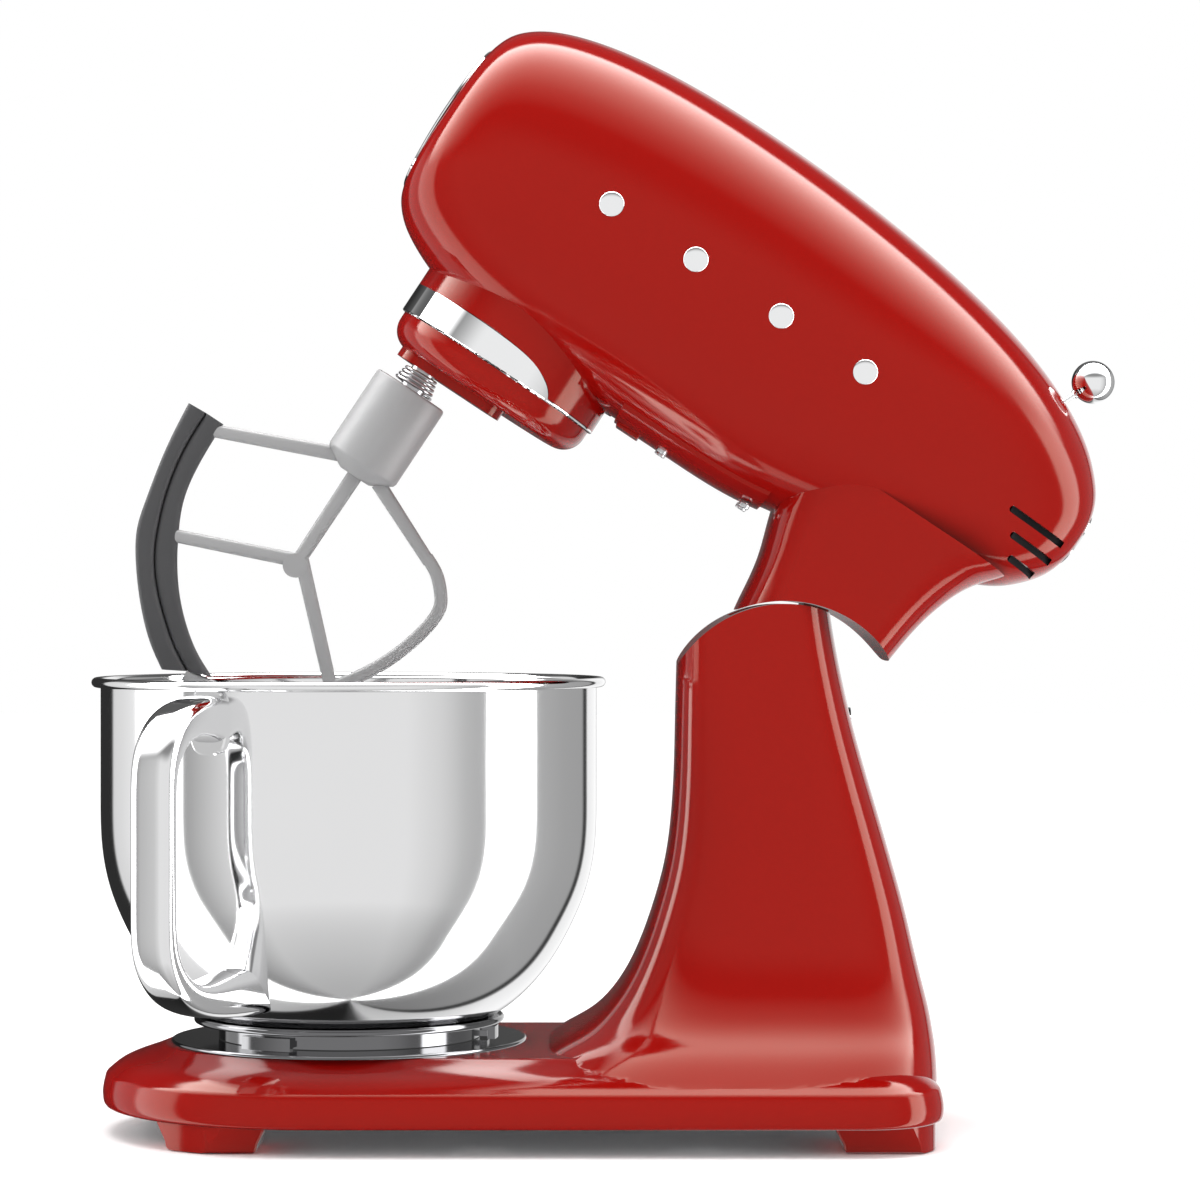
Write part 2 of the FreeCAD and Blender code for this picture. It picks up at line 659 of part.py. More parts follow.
def shaft_bearings():
    return [tube(16.0, 8.0 + RUNNING, (0, 0, z), (0, 0, z + h)) for z, h in ((243.6, 5), (298, 4))]


def idler_bushes():
    return [tube(9.0, 5.0 + RUNNING, (IDLER_X, IDLER_Y, z), (IDLER_X, IDLER_Y, z + h))
            for z, h in ((245.9, 2.6), (298, 4))]


def hub_bush():
    """The bush that carries the accessory drive shaft, at the back of the hub."""
    return tube(17.0, 6.0 + RUNNING, (-56, 0, HUB_Z), (-50, 0, HUB_Z))


def hinge_bushes():
    """Two bronze bushes in the neck's tongue."""
    return [tube(8.0, PIN_R + RUNNING, (PIVOT_X, y, PIVOT_Z), (PIVOT_X, y + 14, PIVOT_Z))
            for y in (-21.5, 7.5)]


def head_screws():
    """Screws that hold the service plate, two at each end."""
    return [cylinder(2.5, (x, y, BELLY_Z - 2.6), (x, y, BELLY_Z - 1.8))
            for x in (78, 120) for y in (-30, 30)]


def planetary_cup():
    """The red cup that carries the beater's shaft round."""
    fillet = 10.0
    corner = fillet * (1 - math.sqrt(0.5))
    outer = lathe([
        line((0, 0, CUP_UNDER), (CUP_R - fillet, 0, CUP_UNDER)),
        arc((CUP_R - fillet, 0, CUP_UNDER), (CUP_R - corner, 0, CUP_UNDER + corner),
            (CUP_R, 0, CUP_UNDER + fillet)),
        line((CUP_R, 0, CUP_UNDER + fillet), (CUP_R, 0, CUP_TOP)),
        line((CUP_R, 0, CUP_TOP), (0, 0, CUP_TOP)), line((0, 0, CUP_TOP), (0, 0, CUP_UNDER))])
    hollow = tube(42.0, 15.0, (0, 0, 223.5), (0, 0, 240))
    hollow = hollow.cut(cylinder(14.0, (-PLANET_OFFSET, 0, 200), (-PLANET_OFFSET, 0, 240)))
    under = [cylinder(13.5, (-PLANET_OFFSET, 0, 215.4), (-PLANET_OFFSET, 0, 221)),
             cylinder(12.0, (0, 0, 215.4), (0, 0, 221)),
             box((-PLANET_OFFSET, -12, 215.4), (0, 12, 221))]
    cuts = [hollow, cylinder(9.0, (-PLANET_OFFSET, 0, 200), (-PLANET_OFFSET, 0, 240)),
            cylinder(8.0, (0, 0, 221), (0, 0, 240))]
    return join([outer] + under).cut(cuts)


def main_shaft():
    return cylinder(8.0, (0, 0, 221), (0, 0, 302.6))


def main_gear():
    """The large gear on the upright shaft; bars on its top face drive the accessory hub."""
    gear = spur_gear(MAIN_TEETH, MODULE, GEAR_Z, GEAR_H,
                     math.degrees(math.atan2(IDLER_Y, IDLER_X)), 8.0)
    bars = []
    for k in range(CROWN_TEETH):
        bar = box((26, -1.1, GEAR_Z + GEAR_H - 1), (34, 1.1, GEAR_Z + GEAR_H + 5.2))
        bar.rotate(Vector(0, 0, 0), Z, 360 * k / CROWN_TEETH)
        bars.append(bar)
    return join([gear] + bars)


def planet_bushes():
    return [tube(9.0, 5.5 + RUNNING, (-PLANET_OFFSET, 0, z), (-PLANET_OFFSET, 0, z + 5))
            for z in (216.0, 226.5)]


def beater_shaft():
    """The upright shaft that the beater hangs on."""
    x = -PLANET_OFFSET
    shaft = cylinder(5.5, (x, 0, 176), (x, 0, 243))
    return shaft.cut(cylinder(2.0, (x, -10, 190), (x, 10, 190)))


def beater_pin():
    """The cross pin that drives the beater's hub."""
    return cylinder(2.0, (-PLANET_OFFSET, -11, 190), (-PLANET_OFFSET, 11, 190))


def planet_pinion():
    pinion = spur_gear(PLANET_TEETH, MODULE, 234.2, 7.6, 0.0, 5.5)
    return moved(pinion, -PLANET_OFFSET, 0)


def beater_spring():
    """The conical spring that holds the beater down on its pin."""
    return [Part.makeTorus(6.9 + 0.65 * k, 0.75, Vector(-PLANET_OFFSET, 0, 213.4 - 1.75 * k), Z)
            for k in range(4)]


def bar(start, end, width, depth=6.0):
    """A straight bar of the beater's frame, in the XZ plane."""
    (x0, z0), (x1, z1) = start, end
    length = math.hypot(x1 - x0, z1 - z0)
    ux, uz = (x1 - x0) / length, (z1 - z0) / length
    nx, nz = -uz * width / 2, ux * width / 2
    corners = [(x0 + nx, z0 + nz), (x1 + nx, z1 + nz), (x1 - nx, z1 - nz), (x0 - nx, z0 - nz)]
    y = -depth / 2
    outline = polygon([(x, y, z) for x, z in corners])
    return Part.Face(outline).extrude(Y * depth)


def strip(outer, inner, depth):
    """A curved strip between two outlines given as (x, z) points."""
    y = -depth / 2
    a, b = in_side_view(outer, y), in_side_view(inner, y)
    return slab([curve(a), line(a[-1], b[-1]), curve(b), line(b[0], a[0])], (0, depth, 0))


EDGE_OUTER = [(-102.9, 148.5), (-101, 131.5), (-98.3, 116.5), (-95.3, 103.5), (-91.8, 91.5),
              (-85.3, 80.5), (-78.3, 71.5), (-68.6, 61), (-58.8, 52.6), (-49.4, 46.6)]
EDGE_INNER = [(-94.2, 149), (-93.6, 131.5), (-91, 116.5), (-88.2, 106.5), (-85.2, 98.5),
              (-79.5, 86.5), (-69.7, 74), (-59.8, 65), (-49.8, 57.5), (-40, 52)]
FRAME_INNER = [(-85.6, 149), (-84.6, 127), (-81.6, 112), (-75.6, 99), (-69.6, 89), (-59.6, 76.2),
               (-49.6, 67), (-39.6, 60.3), (-29.6, 55.8)]


def beater_frame():
    """The cast beater: hub, stem, arms and rim."""
    x = -PLANET_OFFSET
    hub = cylinder(17.0, (x, 0, 167.5), (x, 0, 206))
    cone = Part.makeCone(8.0, 17.0, 6, Vector(x, 0, 161.5), Z)
    holder = strip(EDGE_INNER, FRAME_INNER, 6.0)
    rim_outer = [(38.9, 131.6), (37.8, 121), (33.9, 107), (28, 94), (21.5, 83.5), (12, 72.5),
                 (0, 62.5), (-13, 54.5), (-26, 49.6), (-40, 47.4)]
    rim_inner = [(33.2, 131.6), (32.2, 121.5), (28.6, 108.8), (23.2, 97), (17, 87), (8, 76.5),
                 (-3.5, 67), (-15.5, 59.8), (-27.5, 55.2), (-40, 53.2)]
    rim = strip(rim_outer, rim_inner, 5.6)
    shoulder_outer = [(20, 152.2), (28, 148.2), (34.5, 142), (38.2, 136), (38.9, 131.6)]
    shoulder_inner = [(17.6, 147.2), (24.5, 143.8), (29.6, 139), (32.6, 134.6), (33.2, 131.6)]
    shoulder = strip(shoulder_outer, shoulder_inner, 5.6)
    parts = [
        hub, cone, holder, rim, shoulder,
        bar((x, 168), (x, 112), 6.0), bar((-38, 166.8), (-89, 143.6), 5.6),
        bar((-14, 165.5), (20.5, 148.6), 5.6), bar((x, 118), (-78, 97), 5.6),
        bar((x + 1, 119), (17.5, 78.5), 5.6), cylinder(5.2, (x, -3, 115.5), (x, 3, 115.5)),
    ]
    bore = cylinder(5.5 + 0.02, (x, 0, 175), (x, 0, 210))
    slot = cylinder(2.0, (x, -11, 190), (x, 11, 190))
    return join(parts).cut([bore, slot])


def beater_edge():
    """The soft wiping blade along the beater's leading edge."""
    return strip(EDGE_OUTER, EDGE_INNER, 8.0)


def idler_shaft():
    return cylinder(5.0, (IDLER_X, IDLER_Y, 244.6), (IDLER_X, IDLER_Y, 320))


def idler_pinion():
    towards = math.degrees(math.atan2(IDLER_Y, IDLER_X)) + 180
    pinion = spur_gear(IDLER_TEETH, MODULE, GEAR_Z - 1, GEAR_H + 2, towards + 180 / IDLER_TEETH, 5.0)
    return moved(pinion, IDLER_X, IDLER_Y)


def worm_wheel():
    """The bronze wheel that the motor's worm drives; its narrow teeth clear the worm's slope."""
    wheel = spur_gear(WHEEL_TEETH, MODULE, MOTOR_Z - 2.5, 5.0, -90, 5.0, backlash=1.0)
    return moved(wheel, IDLER_X, IDLER_Y)


def worm_thread():
    """Two right-hand threads on the worm, along X."""
    lead = math.pi * MODULE * WORM_STARTS
    length, root, tip = 26.0, 4.9, 8.3
    helix = Part.makeHelix(lead, length, root)
    profile = Part.Wire(polygon([(root - 0.3, 0, -0.85), (root - 0.3, 0, 0.85),
                                 (tip, 0, 0.45), (tip, 0, -0.45)]).Edges)
    thread = Part.Wire(helix.Edges).makePipeShell([profile], True, True)
    threads = []
    for start in range(WORM_STARTS):
        one = thread.copy()
        one.rotate(Vector(0, 0, 0), Z, 360 * start / WORM_STARTS)
        threads.append(one)
    return threads, lead, length


def motor_shaft():
    """The motor's shaft, with the worm cut on its front end."""
    threads, lead, length = worm_thread()
    start = IDLER_X + math.pi * MODULE / 2 - round(length / 2 / lead) * lead
    placed = []
    for one in threads:
        # the helix starts at the +Y side once its axis lies along X
        one.rotate(Vector(0, 0, 0), Y, 90)
        one.rotate(Vector(0, 0, 0), X, 90)
        one.translate(Vector(start, 0, MOTOR_Z))
        placed.append(one)
    rod = cylinder(5.0, (28, 0, MOTOR_Z), (178, 0, MOTOR_Z))
    return rod.fuse(placed)


def rotor_core():
    return tube(24.3, 5.0, (81, 0, MOTOR_Z), (121, 0, MOTOR_Z))


def commutator():
    return tube(13.0, 5.0, (150, 0, MOTOR_Z), (164, 0, MOTOR_Z))


def cooling_fan():
    """The motor's fan: a hub, a disc and flat blades."""
    hub = cylinder(11, (134, 0, MOTOR_Z), (146, 0, MOTOR_Z))
    disc = cylinder(33, (134, 0, MOTOR_Z), (135.5, 0, MOTOR_Z))
    blades = []
    for k in range(9):
        blade = box((135, -0.8, 9), (145, 0.8, 33))
        blade.rotate(Vector(0, 0, 0), X, 40 * k)
        blades.append(moved(blade, 0, 0, MOTOR_Z))
    bore = cylinder(5.0, (130, 0, MOTOR_Z), (150, 0, MOTOR_Z))
    return join([hub, disc] + blades).cut(bore)


def hub_drive_shaft():
    """The accessory drive, with a square socket at its front end."""
    rod = cylinder(6.0, (-61, 0, HUB_Z), (-24, 0, HUB_Z))
    cup = cylinder(11.0, (-66, 0, HUB_Z), (-58, 0, HUB_Z))
    socket = box((-67, -4.8, HUB_Z - 4.8), (-59, 4.8, HUB_Z + 4.8))
    return cup.cut(socket).fuse(rod.cut(socket))


def hub_pinion():
    """The pinion that the main gear's top bars turn."""
    pitch = HUB_MODULE * HUB_TEETH / 2
    points = []
    for k in range(HUB_TEETH):
        centre = math.radians(-90 + 180 / HUB_TEETH + 360 * k / HUB_TEETH)
        for r, half_width in ((17.6, 1.7), (pitch, 1.1), (21.6, 0.7)):
            points.append((r, centre - half_width / r))
        for r, half_width in ((21.6, 0.7), (pitch, 1.1), (17.6, 1.7)):
            points.append((r, centre + half_width / r))
    outline = polygon([(-33, r * math.cos(a), HUB_Z + r * math.sin(a)) for r, a in points])
    disc = Part.Face(outline).extrude(X * 6)
    return disc.cut(cylinder(6.0, (-40, 0, HUB_Z), (-20, 0, HUB_Z)))


# ---- bowl ------------------------------------------------------------------------------------
# outside of the bowl below its straight wall: radius and height
BOWL_CURVE = [(BOWL_R, 138), (105.5, 122), (102.1, 104.5), (95, 87), (84.6, 69.5),
              (71.5, 55.6), (57, 46.6), (38, 41.8), (14, 40.6)]


def drawn_in(points, distance):
    """The same outline, moved to its left by distance."""
    result = []
    last = len(points) - 1
    for i, (r, z) in enumerate(points):
        r0, z0 = points[max(0, i - 1)]
        r1, z1 = points[min(last, i + 1)]
        length = math.hypot(r1 - r0, z1 - z0)
        result.append((r + (z1 - z0) / length * distance, z - (r1 - r0) / length * distance))
    return result


def bowl_form(distance):
    """The solid form of the bowl's outside, drawn in by distance."""
    points = drawn_in(BOWL_CURVE, distance)
    side, bottom, top = BOWL_R - distance, BOWL_CURVE[-1][1] + distance, BOWL_RIM_Z - 2
    points[0], points[-1] = (side, BOWL_CURVE[0][1]), (BOWL_CURVE[-1][0], bottom)
    edges = [line((side, 0, top), (side, 0, points[0][1])),
             curve(in_side_view(points), start=(0, 0, -1), end=(-1, 0, 0)),
             line((points[-1][0], 0, bottom), (0, 0, bottom)),
             line((0, 0, bottom), (0, 0, top)), line((0, 0, top), (side, 0, top))]
    return lathe(edges)


def bowl_shell():
    """The polished bowl, with a rolled rim."""
    wall = bowl_form(0.0).cut(bowl_form(BOWL_WALL))
    inner, bead = BOWL_R - BOWL_WALL, 2.1
    rim_r = BOWL_R + 1.9
    rim = Part.makeTorus(rim_r, bead, Vector(0, 0, BOWL_RIM_Z - bead), Z)
    rim = rim.cut(cylinder(inner, (0, 0, 170), (0, 0, 200)))
    return wall.fuse(rim)


def bowl_foot():
    """The ring that the bowl stands on, with three lugs that turn under the seat's clips."""
    low, under, top = SEAT_TOP + 0.3, 45.5, 49.2
    ring = lathe([
        line((52, 0, low), (56, 0, low)), line((56, 0, low), (56, 0, under)),
        line((56, 0, under), (65.5, 0, under + 0.9)),
        arc((65.5, 0, under + 0.9), (66.5, 0, under + 2.3), (65.5, 0, top)),
        line((65.5, 0, top), (52, 0, top)), line((52, 0, top), (52, 0, low))])
    lugs = [ring_sector(60.2, 55.5, SEAT_TOP + 0.9, 43.0, angle, 18) for angle in LUG_ANGLES]
    return join([ring] + lugs).cut(bowl_form(0.0))


def bowl_handle():
    """The open strap handle, a flat bar bent to a loop."""
    y = -HANDLE_WIDTH / 2
    top, bottom, out, inner = 189.0, 56.5, 150.4, 141.4
    outline = [
        line((100, y, top), (117, y, top)),
        curve([(117, y, top), (132, y, 187), (145, y, 177), (out - 0.4, y, 162), (out, y, 150)]),
        line((out, y, 150), (out, y, 98)),
        curve([(out, y, 98), (out - 1.2, y, 84), (142, y, 70), (126, y, 60.5), (104, y, bottom)]),
        line((104, y, bottom), (70, y, bottom)), line((70, y, bottom), (82, y, 78)),
        curve([(82, y, 78), (100, y, 73), (120, y, 70), (132, y, 77), (140, y, 88),
               (inner, y, 98)]),
        line((inner, y, 98), (inner, y, 150)),
        curve([(inner, y, 150), (140, y, 161), (134, y, 169), (124, y, 172), (112, y, 171)]),
        line((112, y, 171), (100, y, 165)), line((100, y, 165), (100, y, top)),
    ]
    strap = slab(outline, (0, HANDLE_WIDTH, 0))
    strap = strap.cut(bowl_form(0.0))
    strap.rotate(Vector(0, 0, 0), Z, HANDLE_ANGLE)
    return strap


# ---- all the pieces --------------------------------------------------------------------------
def standing_parts():
    return {
        "base_casting": base_casting(), "base_bottom_cover": base_bottom_cover(),
        "rubber_feet": rubber_feet(), "base_screws": base_screws(),
        "bowl_seat_plate": bowl_seat_plate(), "seat_screws": seat_screws(),
        "hinge_pin": hinge_pin(), "cord_gland": cord_gland(), "control_board": control_board(),
        "release_button": release_button(), "release_spring": release_spring(),
        "bowl_shell": bowl_shell(), "bowl_foot": bowl_foot(), "bowl_handle": bowl_handle(),
    }


def head_parts():
    outer, inner, wall = head_forms()
    return {
        "head_shell": head_shell(wall), "lower_gearcase": lower_gearcase(outer, inner, wall),
        "head_bottom_cover": head_bottom_cover(outer), "trim_band": trim_band(),
        "accessory_hub": accessory_hub(), "front_cover": front_cover(),
        "rear_cap_ring": rear_cap_ring(outer), "rear_cap": rear_cap(),
        "vent_inserts": vent_inserts(), "side_marks": side_marks(),
        "speed_switch": speed_switch(), "speed_lever_arm": speed_lever_arm(),
        "speed_lever_ball": speed_lever_ball(), "motor_stator": motor_stator(),
        "motor_brackets": motor_brackets(inner), "motor_bearings": motor_bearings(),
        "brush_holders": brush_holders(), "ring_gear": ring_gear(),
        "gearbox_plate": gearbox_plate(inner), "shaft_bearings": shaft_bearings(),
        "idler_bushes": idler_bushes(), "hub_bush": hub_bush(), "hinge_bushes": hinge_bushes(),
        "head_screws": head_screws(), "planetary_cup": planetary_cup(),
        "main_shaft": main_shaft(), "main_gear": main_gear(), "planet_bushes": planet_bushes(),
        "beater_shaft": beater_shaft(), "beater_pin": beater_pin(),
        "planet_pinion": planet_pinion(), "beater_spring": beater_spring(),
        "beater_frame": beater_frame(), "beater_edge": beater_edge(),
        "idler_shaft": idler_shaft(), "idler_pinion": idler_pinion(), "worm_wheel": worm_wheel(),
        "motor_shaft": motor_shaft(), "rotor_core": rotor_core(), "commutator": commutator(),
        "cooling_fan": cooling_fan(), "hub_drive_shaft": hub_drive_shaft(),
        "hub_pinion": hub_pinion(),
    }


def as_shape(part):
    """A part as one shape: a list of separate pieces becomes a compound."""
    return Part.makeCompound(part) if isinstance(part, list) else part


os.makedirs("parts", exist_ok=True)
for name, part in standing_parts().items():
    as_shape(part).exportStep(f"parts/{name}.step")
for name, part in head_parts().items():
    raised(as_shape(part)).exportStep(f"parts/{name}.step")
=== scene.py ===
"""The looks of a tilt-head stand mixer, laid out as an add-on and run as a script."""
import json
import math

import bmesh
import bpy
import numpy as np
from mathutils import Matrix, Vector

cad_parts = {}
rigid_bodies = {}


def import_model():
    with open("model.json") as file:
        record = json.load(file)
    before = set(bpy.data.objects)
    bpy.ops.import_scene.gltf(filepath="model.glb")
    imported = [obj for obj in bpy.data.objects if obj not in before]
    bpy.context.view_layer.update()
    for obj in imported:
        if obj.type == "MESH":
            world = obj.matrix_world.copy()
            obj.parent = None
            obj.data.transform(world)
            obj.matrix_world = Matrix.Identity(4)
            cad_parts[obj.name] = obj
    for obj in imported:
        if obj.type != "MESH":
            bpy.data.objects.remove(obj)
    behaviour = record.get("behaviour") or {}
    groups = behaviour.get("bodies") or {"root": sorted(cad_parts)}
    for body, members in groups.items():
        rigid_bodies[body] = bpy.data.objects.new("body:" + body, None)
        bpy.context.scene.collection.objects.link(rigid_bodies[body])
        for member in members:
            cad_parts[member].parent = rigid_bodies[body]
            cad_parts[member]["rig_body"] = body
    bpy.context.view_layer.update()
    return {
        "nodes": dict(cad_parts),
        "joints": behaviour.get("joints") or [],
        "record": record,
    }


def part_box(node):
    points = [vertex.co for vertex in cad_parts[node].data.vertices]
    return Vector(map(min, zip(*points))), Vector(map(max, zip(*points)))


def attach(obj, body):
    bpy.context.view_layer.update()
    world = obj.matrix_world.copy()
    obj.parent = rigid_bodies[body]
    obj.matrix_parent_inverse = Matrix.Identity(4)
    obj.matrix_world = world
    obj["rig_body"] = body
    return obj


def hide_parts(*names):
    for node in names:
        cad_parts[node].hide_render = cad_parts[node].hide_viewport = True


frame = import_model()

bl_info = {
    "name": "Stand Mixer",
    "version": (1, 0, 0),
    "blender": (4, 5, 0),
    "location": "3D View > Sidebar > Mixer",
    "description": "Builds the visible pieces of a tilt-head stand mixer round its frame",
    "category": "Object",
}

# ---- places read from the frame, in millimetres ----
METRE = 1000.0
JOINTS = {joint["name"]: joint for joint in frame["joints"]}
PIVOT_X, _, PIVOT_Z = (METRE * v for v in JOINTS["head_tilt"]["pos_m"])
TILT = math.radians(-JOINTS["head_tilt"]["range_deg"][0])


def lowered(point):
    """A place on the raised head, as it is with the head down."""
    x, y, z = (METRE * v for v in point)
    dx, dz = x - PIVOT_X, z - PIVOT_Z
    return (PIVOT_X + dx * math.cos(TILT) - dz * math.sin(TILT), y,
            PIVOT_Z + dx * math.sin(TILT) + dz * math.cos(TILT))


def node_box(node):
    """The low and high corners of one of the frame's nodes, in millimetres."""
    low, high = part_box(node)
    return [METRE * v for v in low], [METRE * v for v in high]


HUB_Z = lowered(JOINTS["hub_drive_spin"]["pos_m"])[2]
BEATER_X = lowered(JOINTS["beater_spin"]["pos_m"])[0]
REAR_X, HALF_WIDTH = node_box("base_casting")[1][:2]
BOWL_RIM_Z = node_box("bowl_shell")[1][2]


# ---- settings ----
class MixerSizes(bpy.types.PropertyGroup):
    """Sizes of the mixer's pieces, in millimetres"""
    head_wall: bpy.props.FloatProperty(
        name="Head wall", description="Thickness of the head's shell in mm", default=4.0, min=1.0)
    casting_wall: bpy.props.FloatProperty(
        name="Casting wall", description="Thickness of the base's wall in mm", default=5.0,
        min=1.0)
    bowl_wall: bpy.props.FloatProperty(
        name="Bowl wall", description="Thickness of the bowl's sheet in mm", default=1.2, min=0.5)
    rim_bead: bpy.props.FloatProperty(
        name="Rim bead", description="Radius of the bowl's rolled rim in mm", default=2.1, min=0.5)
    spring_wire: bpy.props.FloatProperty(
        name="Spring wire", description="Radius of the beater spring's wire in mm", default=0.7)
    spring_turns: bpy.props.FloatProperty(
        name="Spring turns", description="Turns of the beater's spring", default=4.2, min=2.0)


class MixerColours(bpy.types.PropertyGroup):
    """Colours of the mixer's finishes"""
    enamel: bpy.props.FloatVectorProperty(
        name="Enamel", description="Colour of the enamelled castings", subtype="COLOR", size=4,
        default=(0.238, 0.003, 0.002, 1.0))
    enamel_gloss: bpy.props.FloatVectorProperty(
        name="Enamel gloss", description="Tint of the light that the enamel mirrors",
        subtype="COLOR", size=4, default=(1.0, 0.82, 0.64, 1.0))
    aluminium: bpy.props.FloatVectorProperty(
        name="Beater grey", description="Colour of the coated beater", subtype="COLOR", size=4,
        default=(0.27, 0.27, 0.272, 1.0))
    blade: bpy.props.FloatVectorProperty(
        name="Blade", description="Colour of the beater's soft blade", subtype="COLOR", size=4,
        default=(0.040, 0.040, 0.042, 1.0))


class MixerSettings(bpy.types.PropertyGroup):
    """Every setting of the mixer"""
    sizes: bpy.props.PointerProperty(type=MixerSizes, name="Sizes", description="Sizes in mm")
    colours: bpy.props.PointerProperty(type=MixerColours, name="Colours", description="Colours")


# ---- smooth lines and sections ----
def natural_spline(knots, values, places):
    """Values at places on the smooth cubic line through the knots."""
    knots, values = np.asarray(knots, float), np.asarray(values, float)
    last = len(knots) - 1
    step = np.diff(knots)
    slope = np.diff(values, axis=0) / step[:, None]
    system, right = np.eye(last + 1), np.zeros_like(values)
    for i in range(1, last):
        system[i, i - 1:i + 2] = step[i - 1], 2 * (step[i - 1] + step[i]), step[i]
        right[i] = 6 * (slope[i] - slope[i - 1])
    bend = np.linalg.solve(system, right)
    i = np.clip(np.searchsorted(knots, places) - 1, 0, last - 1)
    along, span = (places - knots[i])[:, None], step[i][:, None]
    return (values[i] + along * (slope[i] - span * (2 * bend[i] + bend[i + 1]) / 6)
            + along ** 2 * bend[i] / 2 + along ** 3 * (bend[i + 1] - bend[i]) / (6 * span))


def smooth_line(points, count):
    """count evenly spaced points on a smooth line through points of any dimension."""
    points = np.asarray(points, float)
    reach = np.concatenate([[0], np.cumsum(np.linalg.norm(np.diff(points, axis=0), axis=1))])
    return natural_spline(reach, points, np.linspace(0, reach[-1], count))


def by_height(rows, heights):
    """Rows that begin with their height, smoothly filled in at the given heights."""
    rows = np.asarray(rows, float)
    return natural_spline(rows[:, 0], rows, np.asarray(heights, float))


def oval(place, half, high, low, upper, lower, count=144):
    """A ring of points; place(across, up) puts each one. Powers above 2 make it boxier."""
    ring = []
    for turn in np.linspace(0, 2 * math.pi, count, endpoint=False):
        c, s = math.cos(turn), math.sin(turn)
        power, reach = (upper, high) if s >= 0 else (lower, low)
        ring.append(place(half * math.copysign(abs(c) ** (2 / power), c),
                          reach * math.copysign(abs(s) ** (2 / power), s)))
    return ring


def circle(radius, count=96):
    """Points round a circle, as (across, up)."""
    turns = np.linspace(0, 2 * math.pi, count, endpoint=False)
    return [(radius * math.cos(t), radius * math.sin(t)) for t in turns]


# ---- meshes, made in millimetres ----
SAME_PLACE = 1e-4    # vertices nearer than this are one
SHARP_TURN = 40      # degrees between faces over which a bevel rounds their edge


def cleaned(piece, change):
    """Changes the piece's mesh, and turns all its faces outwards."""
    form = bmesh.new()
    form.from_mesh(piece.data)
    change(form)
    bmesh.ops.recalc_face_normals(form, faces=form.faces)
    form.to_mesh(piece.data)
    form.free()
    return piece


def placed(name, data):
    """A new object of the data, in the scene."""
    piece = bpy.data.objects.new(name, data)
    bpy.context.scene.collection.objects.link(piece)
    return piece


def new_mesh(name, verts, faces):
    """A mesh object whose faces all look outwards."""
    mesh = bpy.data.meshes.new(name)
    mesh.from_pydata([tuple(v) for v in verts], [], faces)
    return cleaned(placed(name, mesh), lambda form: bmesh.ops.remove_doubles(
        form, verts=form.verts, dist=SAME_PLACE))


def skin(name, rings, closed=False):
    """A solid through a row of rings with the same number of points."""
    count, last = len(rings[0]), len(rings) - 1
    verts = [point for ring in rings for point in ring]
    faces = []
    for row in range(last + 1 if closed else last):
        here, there = row * count, (row + 1) % (last + 1) * count
        for i in range(count):
            j = (i + 1) % count
            faces.append((here + i, here + j, there + j, there + i))
    if not closed:
        faces.append(tuple(range(count)))
        faces.append(tuple(range(last * count, (last + 1) * count)))
    return new_mesh(name, verts, faces)


def turned(name, outline, count=160, axis="Z", centre=(0, 0, 0)):
    """A closed outline of (radius, height) points, turned about the Z or the X axis."""
    rings = []
    for angle in np.linspace(0, 2 * math.pi, count, endpoint=False):
        c, s = math.cos(angle), math.sin(angle)
        if axis == "Z":
            rings.append([(r * c, r * s, h) for r, h in outline])
        else:
            rings.append([(h, r * c, r * s) for r, h in outline])
    piece = skin(name, rings, closed=True)
    cleaned(piece, lambda form: bmesh.ops.dissolve_degenerate(
        form, edges=form.edges, dist=SAME_PLACE))
    return reshape(piece, lambda x, y, z: Vector((x, y, z)) + Vector(centre))


def prism(name, outline, low, high, across="y"):
    """An outline pushed straight through: (x, z) points along Y, or (x, y) points along Z."""
    if across == "y":
        rings = [[(x, level, z) for x, z in outline] for level in (low, high)]
    else:
        rings = [[(x, y, level) for x, y in outline] for level in (low, high)]
    return skin(name, rings)


def rod(name, radius, start, end, count=96):
    """A round bar between two places."""
    start, end = Vector(start), Vector(end)
    turn = (end - start).to_track_quat("Z", "Y")
    ring = [turn @ Vector((x, y, 0)) for x, y in circle(radius, count)]
    return skin(name, [[start + p for p in ring], [end + p for p in ring]])


def block(name, low, high):
    """A box between two corners."""
    (x0, y0, z0), (x1, y1, z1) = low, high
    return prism(name, [(x0, z0), (x1, z0), (x1, z1), (x0, z1)], y0, y1)


def applied(piece):
    """Makes the piece's modifiers part of its mesh."""
    bpy.context.view_layer.update()
    shown = piece.evaluated_get(bpy.context.evaluated_depsgraph_get())
    mesh = bpy.data.meshes.new_from_object(shown)
    piece.modifiers.clear()
    old = piece.data
    piece.data = mesh
    bpy.data.meshes.remove(old)
    return piece


def carve(piece, cutters, way="DIFFERENCE"):
    """Cuts the cutters away from the piece, or joins or keeps them, and uses them up."""
    for cutter in cutters:
        change = piece.modifiers.new("carve", "BOOLEAN")
        change.operation, change.solver, change.object = way, "EXACT", cutter
        applied(piece)
        bpy.data.objects.remove(cutter)
    return piece


def rounded(piece, width):
    """Rounds the piece's sharp edges."""
    bevel = piece.modifiers.new("round", "BEVEL")
    bevel.width, bevel.segments, bevel.limit_method = width, 3, "ANGLE"
    bevel.angle_limit = math.radians(SHARP_TURN)
    bevel.use_clamp_overlap = True
    return applied(piece)


def reshape(piece, move):
    """Puts every vertex of the piece where move(x, y, z) says."""
    for vert in piece.data.vertices:
        vert.co = move(*vert.co)
    piece.data.update()
    return piece


def joined(pieces):
    """One piece of several."""
    return carve(pieces[0], pieces[1:], "UNION")


